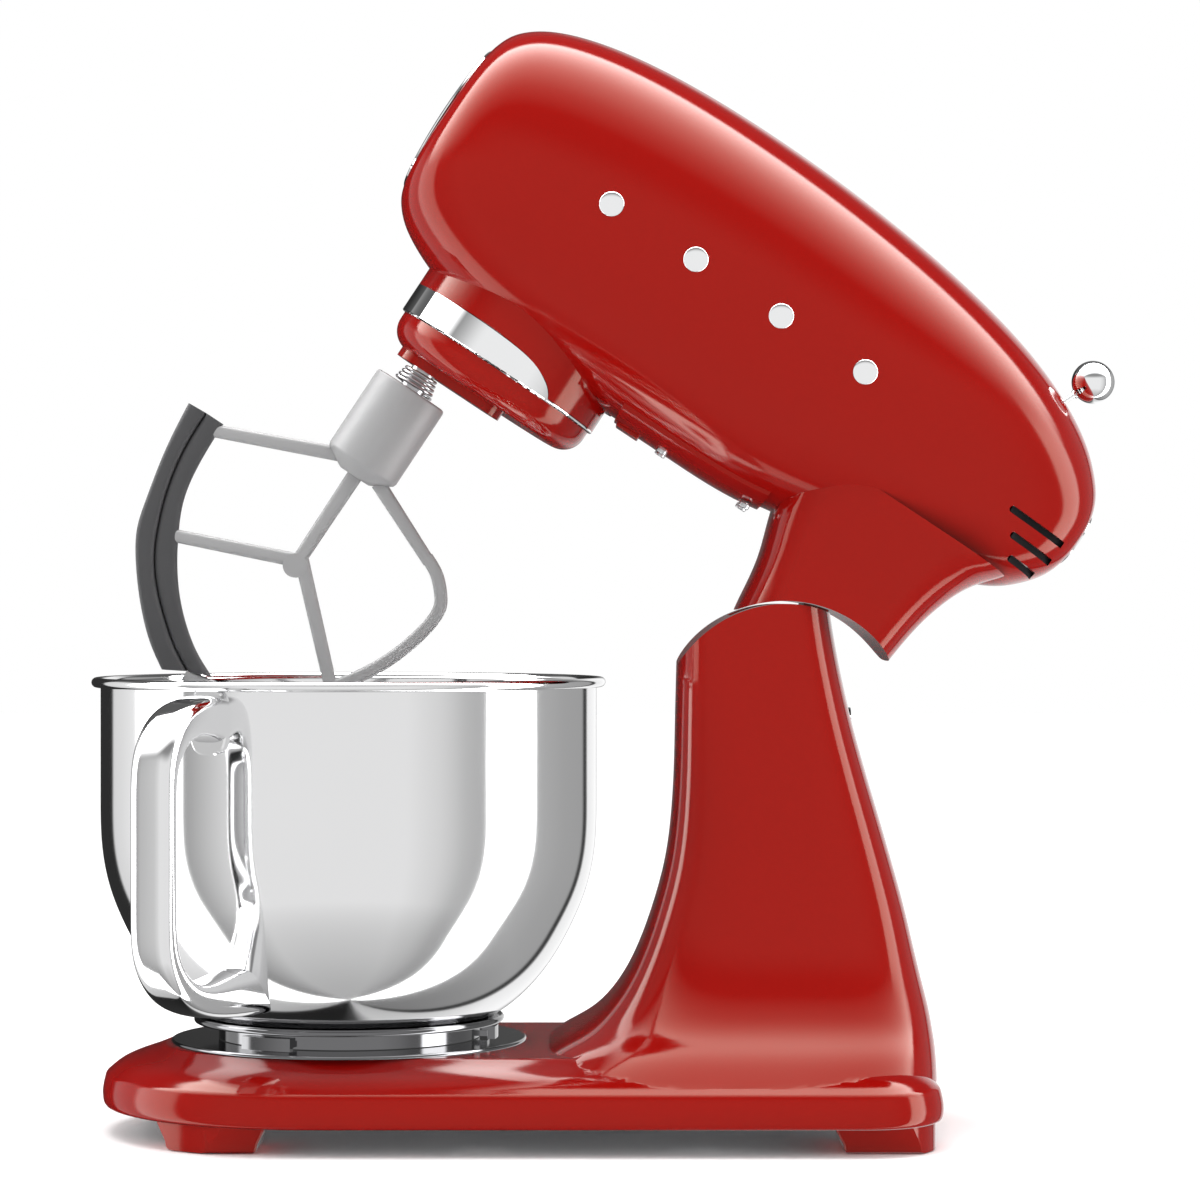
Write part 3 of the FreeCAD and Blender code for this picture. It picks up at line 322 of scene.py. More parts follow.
def bar_ring(outer, inner, depth, power=3.2, count=28):
    """A bar's section between two (x, z) points, depth wide along Y, with rounded corners."""
    outer, inner = np.asarray(outer, float), np.asarray(inner, float)
    middle, reach = (outer + inner) / 2, (outer - inner) / 2
    ring = []
    for turn in np.linspace(0, 2 * math.pi, count, endpoint=False):
        c, s = math.cos(turn), math.sin(turn)
        share = math.copysign(abs(c) ** (2 / power), c)
        x, z = middle + reach * share
        ring.append((x, depth / 2 * math.copysign(abs(s) ** (2 / power), s), z))
    return ring


def bent_bar(name, outer, inner, depth, steps=60, power=3.2):
    """A bar between two smooth (x, z) outlines."""
    pairs = zip(smooth_line(outer, steps), smooth_line(inner, steps))
    return skin(name, [bar_ring(a, b, depth, power) for a, b in pairs])


def straight_bar(name, start, end, width, depth, end_width=None):
    """A bar of the beater's frame, from one (x, z) point to another."""
    start, end = np.asarray(start, float), np.asarray(end, float)
    along = (end - start) / np.linalg.norm(end - start)
    side = np.array([-along[1], along[0]]) / 2
    rings = []
    for share in np.linspace(0, 1, 8):
        here = start + (end - start) * share
        wide = width + ((end_width or width) - width) * share
        rings.append(bar_ring(here + side * wide, here - side * wide, depth))
    return skin(name, rings)


def settle(piece, body, slot, nodes, raised=False, sharp=32.0):
    """Turns a finished piece into metres, with its finish, body and the nodes it stands for."""
    mesh = piece.data
    count = len(mesh.vertices)
    places = np.zeros(count * 3)
    mesh.vertices.foreach_get("co", places)
    places = places.reshape(count, 3)
    if raised:
        dx, dz = places[:, 0] - PIVOT_X, places[:, 2] - PIVOT_Z
        places[:, 0] = PIVOT_X + dx * math.cos(TILT) + dz * math.sin(TILT)
        places[:, 2] = PIVOT_Z - dx * math.sin(TILT) + dz * math.cos(TILT)
    mesh.vertices.foreach_set("co", (places / METRE).ravel())
    mesh.update()
    mesh.polygons.foreach_set("use_smooth", [True] * len(mesh.polygons))
    mesh.set_sharp_from_angle(angle=math.radians(sharp))
    even = piece.modifiers.new("even_shading", "WEIGHTED_NORMAL")
    even.keep_sharp = True
    mesh.materials.clear()
    mesh.materials.append(finish(slot))
    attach(piece, body)
    if nodes:
        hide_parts(*nodes)
    return piece


# ---- finishes ----
def fill(node, values):
    """Sets the node's named inputs."""
    for name, value in values.items():
        node.inputs[name].default_value = value
    return node


def maths(nodes, operation, *values):
    """A math node; None leaves an input to a wire."""
    node = nodes.new("ShaderNodeMath")
    node.operation = operation
    for socket, value in zip(node.inputs, values):
        if value is not None:
            socket.default_value = value
    return node


def wiring(tree):
    """What wires one node's output to another's input, each by name or number."""
    return lambda source, out, target, into: tree.links.new(source.outputs[out],
                                                            target.inputs[into])


def new_group(name, inputs, outputs):
    """A new group with its sockets: the group, its nodes, its wiring and its two ends."""
    group = bpy.data.node_groups.new(name, "ShaderNodeTree")
    for label, kind, value in inputs:
        socket = group.interface.new_socket(name=label, in_out="INPUT", socket_type=kind)
        socket.default_value = value
    for label, kind in outputs:
        group.interface.new_socket(name=label, in_out="OUTPUT", socket_type=kind)
    nodes = group.nodes
    return group, nodes, wiring(group), nodes.new("NodeGroupInput"), nodes.new("NodeGroupOutput")


def uneven_colour():
    """A colour that drifts a little lighter and darker over the surface, and roughness with it."""
    group, nodes, wire, given, result = new_group(
        "uneven_colour",
        [("Colour", "NodeSocketColor", (0.5, 0.5, 0.5, 1)), ("Drift", "NodeSocketFloat", 0.1),
         ("Scale", "NodeSocketFloat", 20.0), ("Roughness", "NodeSocketFloat", 0.3),
         ("Roughness Drift", "NodeSocketFloat", 0.1)],
        [("Colour", "NodeSocketColor"), ("Roughness", "NodeSocketFloat")])
    place = nodes.new("ShaderNodeTexCoord")
    cloud = fill(nodes.new("ShaderNodeTexNoise"), {"Detail": 4.0})
    centred = maths(nodes, "SUBTRACT", None, 0.5)
    light = maths(nodes, "MULTIPLY_ADD", None, None, 1.0)
    shade = nodes.new("ShaderNodeVectorMath")
    shade.operation = "SCALE"
    rough = maths(nodes, "MULTIPLY_ADD")
    wire(place, "Object", cloud, "Vector")
    wire(given, "Scale", cloud, "Scale")
    wire(cloud, "Fac", centred, 0)
    wire(centred, 0, light, 0)
    wire(given, "Drift", light, 1)
    wire(given, "Colour", shade, 0)
    wire(light, 0, shade, "Scale")
    wire(shade, 0, result, "Colour")
    wire(centred, 0, rough, 0)
    wire(given, "Roughness Drift", rough, 1)
    wire(given, "Roughness", rough, 2)
    wire(rough, 0, result, "Roughness")
    return group


def fine_relief():
    """Two sizes of grain as one height, for orange peel, casting skin or brushed lines."""
    group, nodes, wire, given, result = new_group(
        "fine_relief",
        [("Grain", "NodeSocketFloat", 900.0), ("Stretch", "NodeSocketVector", (1, 1, 1)),
         ("Coarse Share", "NodeSocketFloat", 0.3)],
        [("Height", "NodeSocketFloat")])
    place = nodes.new("ShaderNodeTexCoord")
    stretch = nodes.new("ShaderNodeVectorMath")
    stretch.operation = "MULTIPLY"
    fine = fill(nodes.new("ShaderNodeTexNoise"), {"Detail": 2.0})
    coarse_scale = maths(nodes, "MULTIPLY", None, 0.2)
    coarse = nodes.new("ShaderNodeTexNoise")
    mix = nodes.new("ShaderNodeMix")
    wire(place, "Object", stretch, 0)
    wire(given, "Stretch", stretch, 1)
    wire(stretch, 0, fine, "Vector")
    wire(stretch, 0, coarse, "Vector")
    wire(given, "Grain", fine, "Scale")
    wire(given, "Grain", coarse_scale, 0)
    wire(coarse_scale, 0, coarse, "Scale")
    wire(given, "Coarse Share", mix, "Factor")
    wire(fine, "Fac", mix, "A")
    wire(coarse, "Fac", mix, "B")
    wire(mix, "Result", result, "Height")
    return group


# slot: colour, metallic, roughness, colour drift, roughness drift, cloud scale, grain, stretch,
# bump distance in metres
FINISHES = {
    "red_enamel": (None, 0.0, 0.10, 0.05, 0.03, 9.0, 420.0, (1, 1, 1), 0.00001),
    "polished_steel": ((0.80, 0.80, 0.805, 1), 1.0, 0.075, 0.03, 0.04, 14.0, 1500.0,
                       (1, 1, 0.05), 0.000004),
    # a darker polished steel for the bowl's foot and seat plate: painted shade and painted dark
    # reflection
    "dark_steel": ((0.16, 0.16, 0.165, 1), 1.0, 0.09, 0.04, 0.04, 14.0, 1500.0, (1, 1, 0.05),
                   0.000004),
    "chrome": ((0.88, 0.885, 0.89, 1), 1.0, 0.03, 0.02, 0.02, 20.0, 900.0, (1, 1, 1), 0.000001),
    "steel": ((0.55, 0.55, 0.56, 1), 1.0, 0.28, 0.12, 0.12, 60.0, 1800.0, (1, 1, 0.1), 0.00002),
    "cast_aluminium": (None, 0.1, 0.5, 0.06, 0.08, 30.0, 1400.0, (1, 1, 1), 0.00004),
    "bronze": ((0.50, 0.32, 0.13, 1), 1.0, 0.34, 0.16, 0.12, 70.0, 1500.0, (1, 1, 1), 0.00002),
    "copper_winding": ((0.45, 0.16, 0.06, 1), 0.9, 0.38, 0.2, 0.1, 60.0, 1600.0, (0.05, 1, 1),
                       0.0001),
    "soft_edge": (None, 0.0, 0.62, 0.08, 0.06, 40.0, 2200.0, (1, 1, 1), 0.00003),
    "black_rubber": ((0.012, 0.012, 0.012, 1), 0.0, 0.75, 0.15, 0.08, 50.0, 2000.0, (1, 1, 1),
                     0.00005),
    "black_plastic": ((0.006, 0.006, 0.007, 1), 0.0, 0.6, 0.12, 0.08, 50.0, 1600.0, (1, 1, 1),
                      0.00003),
    "grey_plastic": ((0.10, 0.10, 0.105, 1), 0.0, 0.5, 0.08, 0.08, 40.0, 1500.0, (1, 1, 1),
                     0.00004),
    "board_green": ((0.02, 0.12, 0.04, 1), 0.0, 0.4, 0.2, 0.1, 120.0, 900.0, (1, 1, 1), 0.00003),
}


SOFT_GLOSS = {"red_enamel": 0.22, "black_plastic": 0.08}    # mirrored light, where it is weak


def finish(slot):
    """The material of one of the record's slots, made once."""
    material = bpy.data.materials.get("mixer_" + slot)
    if material:
        return material
    colours = bpy.context.scene.mixer.colours
    picked = {"red_enamel": colours.enamel, "cast_aluminium": colours.aluminium,
              "soft_edge": colours.blade}
    colour, metallic, rough, drift, rough_drift, cloud, grain, stretch, depth = FINISHES[slot]
    material = bpy.data.materials.new("mixer_" + slot)
    material.use_nodes = True
    nodes, wire = material.node_tree.nodes, wiring(material.node_tree)
    shader = fill(nodes["Principled BSDF"], {"Metallic": metallic})
    if slot == "red_enamel":
        fill(shader, {"Specular Tint": tuple(colours.enamel_gloss)})
    if slot in SOFT_GLOSS:
        fill(shader, {"Specular IOR Level": SOFT_GLOSS[slot]})
    uneven = nodes.new("ShaderNodeGroup")
    uneven.node_tree = bpy.data.node_groups.get("uneven_colour") or uneven_colour()
    fill(uneven, {"Colour": tuple(picked.get(slot) or colour), "Drift": drift, "Scale": cloud,
                  "Roughness": rough, "Roughness Drift": rough_drift})
    relief = nodes.new("ShaderNodeGroup")
    relief.node_tree = bpy.data.node_groups.get("fine_relief") or fine_relief()
    fill(relief, {"Grain": grain, "Stretch": stretch})
    bump = fill(nodes.new("ShaderNodeBump"), {"Distance": depth})
    wire(uneven, "Colour", shader, "Base Color")
    wire(uneven, "Roughness", shader, "Roughness")
    wire(relief, "Height", bump, "Height")
    wire(bump, "Normal", shader, "Normal")
    return material


# ---- forms shared by the head's pieces ----
# place along the head, crown, belly and half width, from nose to tail, with the head down
HEAD_ROWS = [
    (-76.6, 346, 279, 34), (-75.3, 351, 273.4, 39), (-72.5, 356.8, 268.6, 44.3),
    (-68, 361.6, 264, 49), (-61, 366.4, 259.4, 53.4), (-49.5, 371.4, 254.2, 57.3),
    (-33, 375.9, 249.2, 60.6), (-12, 379.3, 245.8, 63.2), (14, 381.4, 244.4, 65),
    (45, 382, 244.2, 66), (80, 381, 244.2, 66), (112, 378.5, 245, 65.2),
    (140, 375, 249.5, 63.6), (165, 370.5, 255, 61), (186, 365.2, 260, 57.4),
    (204, 358.8, 264.5, 53), (219, 351.6, 269, 47.8), (230, 344.3, 274.5, 42.5),
    (238, 336.9, 281.6, 37), (243, 330.7, 288, 31.5), (246, 324.2, 295, 25.5),
    (246.8, 321, 299, 22),
]
NOSE_X, TAIL_X = HEAD_ROWS[0][0], HEAD_ROWS[-1][0]
WAIST_SHARE, CROWN_POWER, BELLY_POWER = 0.48, 2.35, 2.7
BELLY_Z = 244.2
BOSS_R = 48.5
BAND_LOW, BAND_HIGH = 232.7, 246.0
BELLY_OPENINGS = (((-46, -44, 225), (125, 44, 262)), ((120, -40, 225), (200, 40, 275)))
HUB_HOLE_R = 23.0
LEVER_SLOT = (2.5, 16.0)             # half its length and half its width
VENTS = ((212.5, 241, 302.1), (219, 241, 293.4), (224, 238.5, 285.1))    # front, rear, height
VENT_R = 1.5
STUD_X, STUD_Z, STUD_R, STUD_DEPTH = (4.9, 46.6, 88.9, 130.6), 314.6, 5.2, 2.0


def head_form(inset=0.0, steps=150):
    """The head's outer form, or its hollow when drawn in by inset."""
    rings = []
    for x, crown, belly, half in smooth_line(HEAD_ROWS, steps):
        if inset and not NOSE_X + inset < x < TAIL_X - inset:
            continue
        waist = belly + WAIST_SHARE * (crown - belly)
        rings.append(oval(lambda a, b, p=x, w=waist: (p, a, w + b), half - inset,
                          crown - waist - inset, waist - belly - inset,
                          CROWN_POWER, BELLY_POWER))
    return skin("head_form", rings)


def flank(x, z):
    """Half the head's width at a place on its flank."""
    rows = smooth_line(HEAD_ROWS, 150)
    _, crown, belly, half = rows[np.argmin(abs(rows[:, 0] - x))]
    waist = belly + WAIST_SHARE * (crown - belly)
    return half * (1 - ((z - waist) / (crown - waist)) ** CROWN_POWER) ** (1 / CROWN_POWER)


def lever_direction():
    """The way the speed lever points, read from the lever's joint."""
    x, _, z = JOINTS["speed_lever_swing"]["axis"]
    level = (x * math.cos(TILT) - z * math.sin(TILT), x * math.sin(TILT) + z * math.cos(TILT))
    return Vector((-level[1], 0, level[0]))


def lever_slot():
    """What is cut away for the speed lever's swing."""
    pivot, up = Vector(lowered(JOINTS["speed_lever_swing"]["pos_m"])), lever_direction()
    side, (long, wide) = Vector((up.z, 0, -up.x)), LEVER_SLOT
    corners = ((-long, -wide), (long, -wide), (long, wide), (-long, wide))
    return skin("lever_slot", [[pivot + up * level + side * a + Vector((0, b, 0))
                                for a, b in corners] for level in (10, 70)])


def vent_cutters():
    """Three slots through both flanks, round at their front ends."""
    cutters, r = [], VENT_R
    for front, rear, z in VENTS:
        turns = np.linspace(math.pi / 2, 3 * math.pi / 2, 17)
        nose = [(front + r + r * math.cos(t), z + r * math.sin(t)) for t in turns]
        cutters.append(prism("slot", nose + [(rear, z - r), (rear, z + r)], -80, 80))
    return cutters


def stud_seats():
    """What is cut away for the eight studs."""
    seats = []
    for x in STUD_X:
        face = flank(x, STUD_Z)
        for side in (-1, 1):
            seats.append(rod("stud_seat", STUD_R, (x, side * (face - STUD_DEPTH), STUD_Z),
                             (x, side * (face + 3), STUD_Z), 48))
    return seats


class MIXER_OT_head_shell(bpy.types.Operator):
    """Builds the enamelled upper shell of the head"""
    bl_idname = "mixer.head_shell"
    bl_label = "Head Shell"

    def execute(self, context):
        wall = context.scene.mixer.sizes.head_wall
        shell = carve(head_form(), [head_form(wall, 90)])
        shell.name = "head_shell_skin"
        cutters = [block("belly_opening", low, high) for low, high in BELLY_OPENINGS]
        cutters += [
            rod("hub_hole", HUB_HOLE_R, (-90, 0, HUB_Z), (-60, 0, HUB_Z)),
            rod("boss_hole", BOSS_R, (0, 0, 225), (0, 0, 262)),
            lever_slot(),
        ]
        carve(shell, cutters + stud_seats() + vent_cutters())
        settle(shell, "head", "red_enamel", ["head_shell"], raised=True)
        return {"FINISHED"}


class MIXER_OT_studs(bpy.types.Operator):
    """Builds the four bright domed studs on each flank"""
    bl_idname = "mixer.studs"
    bl_label = "Flank Studs"

    def execute(self, context):
        studs, rise = [], 0.75
        dome = [(STUD_R * math.sin(t), rise * math.cos(t))
                for t in np.linspace(0, math.pi / 2, 14)]
        for x in STUD_X:
            face = flank(x, STUD_Z)
            for side in (-1, 1):
                rings = []
                for radius, height in [(STUD_R, -STUD_DEPTH)] + dome[:0:-1] + [(0.3, rise)]:
                    rings.append([(x + a, side * (face + height), STUD_Z + b)
                                  for a, b in circle(radius, 48)])
                studs.append(skin("flank_studs", rings))
        settle(joined(studs), "head", "chrome", ["side_marks"], raised=True)
        return {"FINISHED"}


class MIXER_OT_gearbox_skirt(bpy.types.Operator):
    """Builds the flare that runs the gearbox boss up into the head"""
    bl_idname = "mixer.gearbox_skirt"
    bl_label = "Gearbox Skirt"

    def execute(self, context):
        flare = [(BOSS_R, BAND_HIGH + 0.2), (BOSS_R, 249), (48.9, 252), (50, 255.4), (52.2, 258.8),
                 (55.6, 262), (60, 264.6)]
        outside = [tuple(p) for p in smooth_line(flare, 40)]
        inner = 46
        skirt = turned("gearbox_skirt",
                       outside + [(inner, flare[-1][1]), (inner, flare[0][1])], 192)
        within = head_form(0.6, 120)
        drum = rod("drum", BOSS_R, (0, 0, BAND_HIGH), (0, 0, 270), 192)
        carve(within, [drum], "UNION")
        carve(skirt, [within], "INTERSECT")
        settle(skirt, "head", "red_enamel", [], raised=True)
        return {"FINISHED"}


class MIXER_OT_bottom_cover(bpy.types.Operator):
    """Builds the service plate that follows the head's underside, with its tab and screws"""
    bl_idname = "mixer.bottom_cover"
    bl_label = "Bottom Cover"

    def execute(self, context):
        lip, span = 1.6, ((54, -38, 225), (126, 38, 262))
        plate = carve(head_form(-lip), [block("span", *span)], "INTERSECT")
        carve(plate, [head_form(0.4)])
        tab = rounded(block("tab", (55.5, -12, BELLY_Z - 2.8), (66.5, 12, BELLY_Z - 1.0)), 0.5)
        carve(plate, [tab], "UNION")
        plate.name = "service_plate"
        settle(plate, "head", "red_enamel", ["head_bottom_cover"], raised=True)
        screws = []
        for x in (78, 120):
            for y in (-16, 16):
                screws.append(rounded(rod("service_screws", 2.5, (x, y, BELLY_Z - 2.4),
                                          (x, y, BELLY_Z - 0.2), 32), 0.4))
        settle(joined(screws), "head", "steel", ["head_screws"], raised=True)
        return {"FINISHED"}


class MIXER_OT_trim_band(bpy.types.Operator):
    """Builds the bright band round the gearbox, deep at the front and a thin lip behind"""
    bl_idname = "mixer.trim_band"
    bl_label = "Trim Band"

    def execute(self, context):
        front = [(-60, BAND_HIGH), (-20, 245.7), (0, 244.9), (10, 243.8), (16, 242.2), (20, 240.2),
                 (23.4, 237.9), (25.4, 235.6), (26.5, BAND_LOW + 1)]
        line, front_end, thick, edge = smooth_line(front, 200), front[-1][0], 1.3, 0.3
        rings = []
        for turn in np.linspace(0, 2 * math.pi, 240, endpoint=False):
            c, s = math.cos(turn), math.sin(turn)
            top = BAND_LOW + 1.0
            if BOSS_R * c < front_end:
                top = max(top, float(np.interp(BOSS_R * c, line[:, 0], line[:, 1])))
            low, outer, inner = BAND_LOW, BOSS_R, BOSS_R - thick
            section = [(inner, low), (outer - edge, low), (outer, low + edge),
                       (outer, top - edge), (outer - edge, top), (inner, top)]
            rings.append([(r * c, r * s, z) for r, z in section])
        band = skin("trim_band_ring", rings, closed=True)
        settle(band, "head", "chrome", ["trim_band"], raised=True)
        return {"FINISHED"}


class MIXER_OT_front_cover(bpy.types.Operator):
    """Builds the domed chrome disc that plugs the accessory socket"""
    bl_idname = "mixer.front_cover"
    bl_label = "Front Cover"

    def execute(self, context):
        radius, back, rise = 34.6, NOSE_X - 0.3, 2.4
        dome = [(radius * share, back - 0.7 - rise * (1 - share ** 2))
                for share in np.linspace(0, 0.985, 40)]
        lip = [(radius, back - 0.5), (radius, back)]
        outer, inner, floor, depth = 16.9, 14, back - 0.2, 11
        spigot = [(outer, back), (outer, back + depth), (inner, back + depth), (inner, floor),
                  (0, floor)]
        cover = turned("front_cover_dome", dome + lip + spigot, 192, "X", (0, 0, HUB_Z))
        settle(cover, "hub_cover", "chrome", ["front_cover"], raised=True)
        return {"FINISHED"}


class MIXER_OT_speed_ball(bpy.types.Operator):
    """Builds the chrome ball on the speed lever"""
    bl_idname = "mixer.speed_ball"
    bl_label = "Speed Ball"

    def execute(self, context):
        low, high = node_box("speed_lever_ball")
        radius = (high[1] - low[1]) / 2
        centre = [(a + b) / 2 for a, b in zip(low, high)]
        lean = lever_direction()
        turns = np.linspace(-math.pi / 2 + 0.13, math.pi / 2, 60)
        side = [(radius * math.cos(t), radius * math.sin(t)) for t in turns]
        collar = [(0, -radius - 0.6), (1.9, -radius - 0.6), (2.1, -radius + 0.1)]
        ball = turned("speed_lever_knob", collar + side, 96)
        angle = math.atan2(lean.x, lean.z) + TILT
        c, s = math.cos(angle), math.sin(angle)
        reshape(ball, lambda x, y, z: (centre[0] + x * c + z * s, centre[1] + y,
                                       centre[2] - x * s + z * c))
        settle(ball, "speed_lever", "chrome", ["speed_lever_ball"])
        return {"FINISHED"}


# ---- base ----
# height, front, rear and half width of the column, from the base up
COLUMN_ROWS = [
    (26, 76, 250.0, 92), (34, 81, 249.8, 86), (41, 90.5, 249.2, 80), (47, 100.8, 248.4, 73.5),
    (55, 110.2, 247.0, 67.5), (65, 117.6, 244.6, 62.5), (80, 125, 241, 58), (97, 131, 237, 55.2),
    (115, 135.7, 232.1, 53.2), (135, 138.4, 226.3, 51.8), (155, 139.6, 220.4, 50.5),
    (175, 140.1, 214.9, 49.6), (195, 140.6, 210.3, 49), (215, 141.2, 206.6, 48.5),
    (238, 142, 203.5, 48),
]
FOOT_HEIGHT = 0.5
BOXY = 4             # power of the column's section
BASE_NOSE_X, REAR_CORNER, KNUCKLE_R = -10.3, 34.0, 51.6
# front, rear, side and half width of each pair of pads, and how far the far end draws in
PADS = ((-80, -25, 66, 22, 0.9), (199, 251, 62, 26, 0.3))
HINGE_SLOT_R, HINGE_SLOT_HALF, PIN_R, BUTTON_R, GLAND_R = 22.0, 22.2, 6.0, 7.4, 7.0
GLAND_Y, GLAND_Z = 40, 20


def upright_form(name, rows, heights, inset=0.0):
    """A boxy upright form through rows of height, front, rear and half width."""
    rings = []
    for z, front, rear, half in by_height(rows, heights):
        middle, reach = (front + rear) / 2, (rear - front) / 2 - inset
        rings.append(oval(lambda a, b, m=middle, h=z: (m + b, a, h), half - inset, reach, reach,
                          BOXY, BOXY, 112))
    return skin(name, rings)


def base_outline(inset):
    """The base's outline from above, drawn in by inset."""
    r, rear, corner = HALF_WIDTH - inset, REAR_X - inset, REAR_CORNER - inset
    x, y = rear - corner, r - corner
    quarter = math.pi / 2

    def arc(middle_x, middle_y, radius, start, end, count):
        return [(middle_x + radius * math.cos(t), middle_y + radius * math.sin(t))
                for t in np.linspace(start, end, count)]

    def straight(start_x, start_y, along_x, along_y, count):
        return [(start_x + along_x * share, start_y + along_y * share)
                for share in np.linspace(0, 1, count)[1:]]

    return (arc(BASE_NOSE_X, 0, r, quarter, 3 * quarter, 81)
            + straight(BASE_NOSE_X, -r, x - BASE_NOSE_X, 0, 24)
            + arc(x, -y, corner, -quarter, 0, 17)[1:]
            + straight(rear, -y, 0, 2 * y, 16)
            + arc(x, y, corner, 0, quarter, 17)[1:]
            + straight(x, r, BASE_NOSE_X - x, 0, 24)[:-1])


def slab_form():
    """The base's slab: a rounded side wall, a crease, and a crowned top."""
    side = smooth_line([(3.0, 11.5), (1.1, 12.3), (0.1, 15), (0.2, 20), (1.2, 24.6)], 16)
    edge = smooth_line([(1.2, 24.6), (1.7, 25.6), (2.8, 26.6)], 5)[1:]
    top = smooth_line([(2.8, 26.6), (6.5, 29.6), (14, 33.2), (21, 35.6), (27, 38.0)], 18)[1:]
    rings = []
    for inset, z in np.concatenate([side, edge, top]):
        rings.append([(x, y, z) for x, y in base_outline(inset)])
    return skin("slab", rings)


def foot_pad(x0, x1, y0, y1, far):
    """One of the casting's pads: wide at the slab, drawn in at the floor."""
    rings = []
    for z, draw in ((20, 0.0), (9, 5.6), (4, 8.3), (FOOT_HEIGHT, 9.0)):
        a, b = x0 + draw, x1 - draw * far
        c, d = y0 + draw * 0.8, y1 - draw * 0.8
        rings.append([(a, c, z), (b, c, z), (b, d, z), (a, d, z)])
    return rounded(skin("pad", rings), 1.5)


class MIXER_OT_base_casting(bpy.types.Operator):
    """Builds the enamelled base and column, one hollow casting"""
    bl_idname = "mixer.base_casting"
    bl_label = "Base Casting"

    def execute(self, context):
        wall = context.scene.mixer.sizes.casting_wall
        column = upright_form("column", COLUMN_ROWS, np.linspace(26, 238, 96))
        start = math.asin(4 / KNUCKLE_R)
        turns = np.linspace(start, math.pi - start, 90)
        top = [(PIVOT_X + KNUCKLE_R * math.cos(t), PIVOT_Z + KNUCKLE_R * math.sin(t))
               for t in turns]
        level = top[0][1]
        keep = prism("keep", [(0, 0), (300, 0), (300, level)] + top + [(0, level)], -120, 120)
        carve(column, [keep], "INTERSECT")
        base = slab_form()
        within = prism("within", base_outline(3.4), 0, 40, "z")
        pads = []
        for x0, x1, y, half, far in PADS:
            for side in (-1, 1):
                pads.append(foot_pad(x0, x1, side * y - half, side * y + half, far))
        pads = carve(joined(pads), [within], "INTERSECT")
        void = skin("void", [[(x, y, z) for x, y in base_outline(inset)]
                             for inset, z in ((wall, 10), (wall, 27), (wall + 22, 32))])
        carve(void, [placed("pad_copy", pads.data.copy())])
        carve(base, [column, pads], "UNION")
        hollow = upright_form("hollow", COLUMN_ROWS, np.linspace(24, 138, 40), wall)
        x, y, z, r = PIVOT_X, HINGE_SLOT_HALF, PIVOT_Z, HINGE_SLOT_R
        cutters = [
            void, hollow, rod("slot_round", r, (x, -y, z), (x, y, z)),
            block("slot", (x - r, -y, z), (x + r, y, z + 60)),
            rod("pin_bore", PIN_R, (x, -46, z), (x, 46, z), 48),
            rod("button_hole", BUTTON_R, (x + 24, 0, z), (240, 0, z), 64),
            rod("gland_hole", GLAND_R, (REAR_X - 12, GLAND_Y, GLAND_Z),
                (REAR_X + 4, GLAND_Y, GLAND_Z), 64),
        ]
        carve(base, cutters)
        base.name = "base_casting_body"
        settle(base, "base", "red_enamel", ["base_casting"])
        base.visible_glossy = False
        return {"FINISHED"}


# ---- bowl ----
BOWL_R = 106.2
BOWL_ROWS = [(BOWL_R, 138), (105.5, 122), (102.1, 104.5), (95, 87), (84.6, 69.5),
             (71.5, 55.6), (57, 46.6), (38, 41.8), (14, 40.6)]


def bowl_outline(wall, bead):
    """The bowl's closed outline: outside up the wall, round the bead, and down the inside."""
    outside = smooth_line([(BOWL_R, 146)] + BOWL_ROWS, 110)[::-1]
    step = np.gradient(outside, axis=0)
    step /= np.linalg.norm(step, axis=1)[:, None]
    inside = outside + np.stack([-step[:, 1], step[:, 0]], axis=1) * wall
    centre_r, centre_z = BOWL_R + bead - wall + 0.9, BOWL_RIM_Z - bead
    start = -math.radians(60)
    roll = [(centre_r + bead * math.cos(t), centre_z + bead * math.sin(t))
            for t in np.linspace(start - math.pi / 2, math.pi, 26)]
    inner_r = BOWL_R - wall
    lines = [(0, outside[0][1])] + [tuple(p) for p in outside]
    lines += [(BOWL_R, z) for z in np.linspace(150, centre_z - bead - 0.6, 9)]
    lines += roll
    lines += [(inner_r, z) for z in np.linspace(centre_z - 1, 150, 9)]
    lines += [tuple(p) for p in inside[::-1]]
    return lines + [(0, inside[0][1])]


class MIXER_OT_bowl(bpy.types.Operator):
    """Builds the polished bowl with its rolled rim"""
    bl_idname = "mixer.bowl"
    bl_label = "Bowl"

    def execute(self, context):
        sizes = context.scene.mixer.sizes
        bowl = turned("bowl_wall", bowl_outline(sizes.bowl_wall, sizes.rim_bead), 224)
        settle(bowl, "bowl", "polished_steel", ["bowl_shell"], sharp=50)
        return {"FINISHED"}


HANDLE_OUTER = [(101, 187.5), (112, 188.4), (124, 187.2), (136, 182.6), (145, 174), (149.4, 163),
                (150.4, 150), (150.4, 124), (150.4, 98), (149.2, 85), (144, 74), (135, 65.5),
                (122, 60), (104, 57), (86, 56.2), (71, 56)]
HANDLE_INNER = [(101, 166), (110, 169.8), (119, 171.6), (128, 170.4), (135.5, 165.6),
                (140, 158.6), (141.4, 148), (141.4, 124), (141.4, 98), (140.2, 88.6),
                (136, 81), (129.5, 75.6), (120, 72.8), (107, 73.4), (93, 75.6), (80, 77)]


HANDLE_TURN = math.radians(241.6)    # from +X round to the handle
HANDLE_WIDE = 19.6


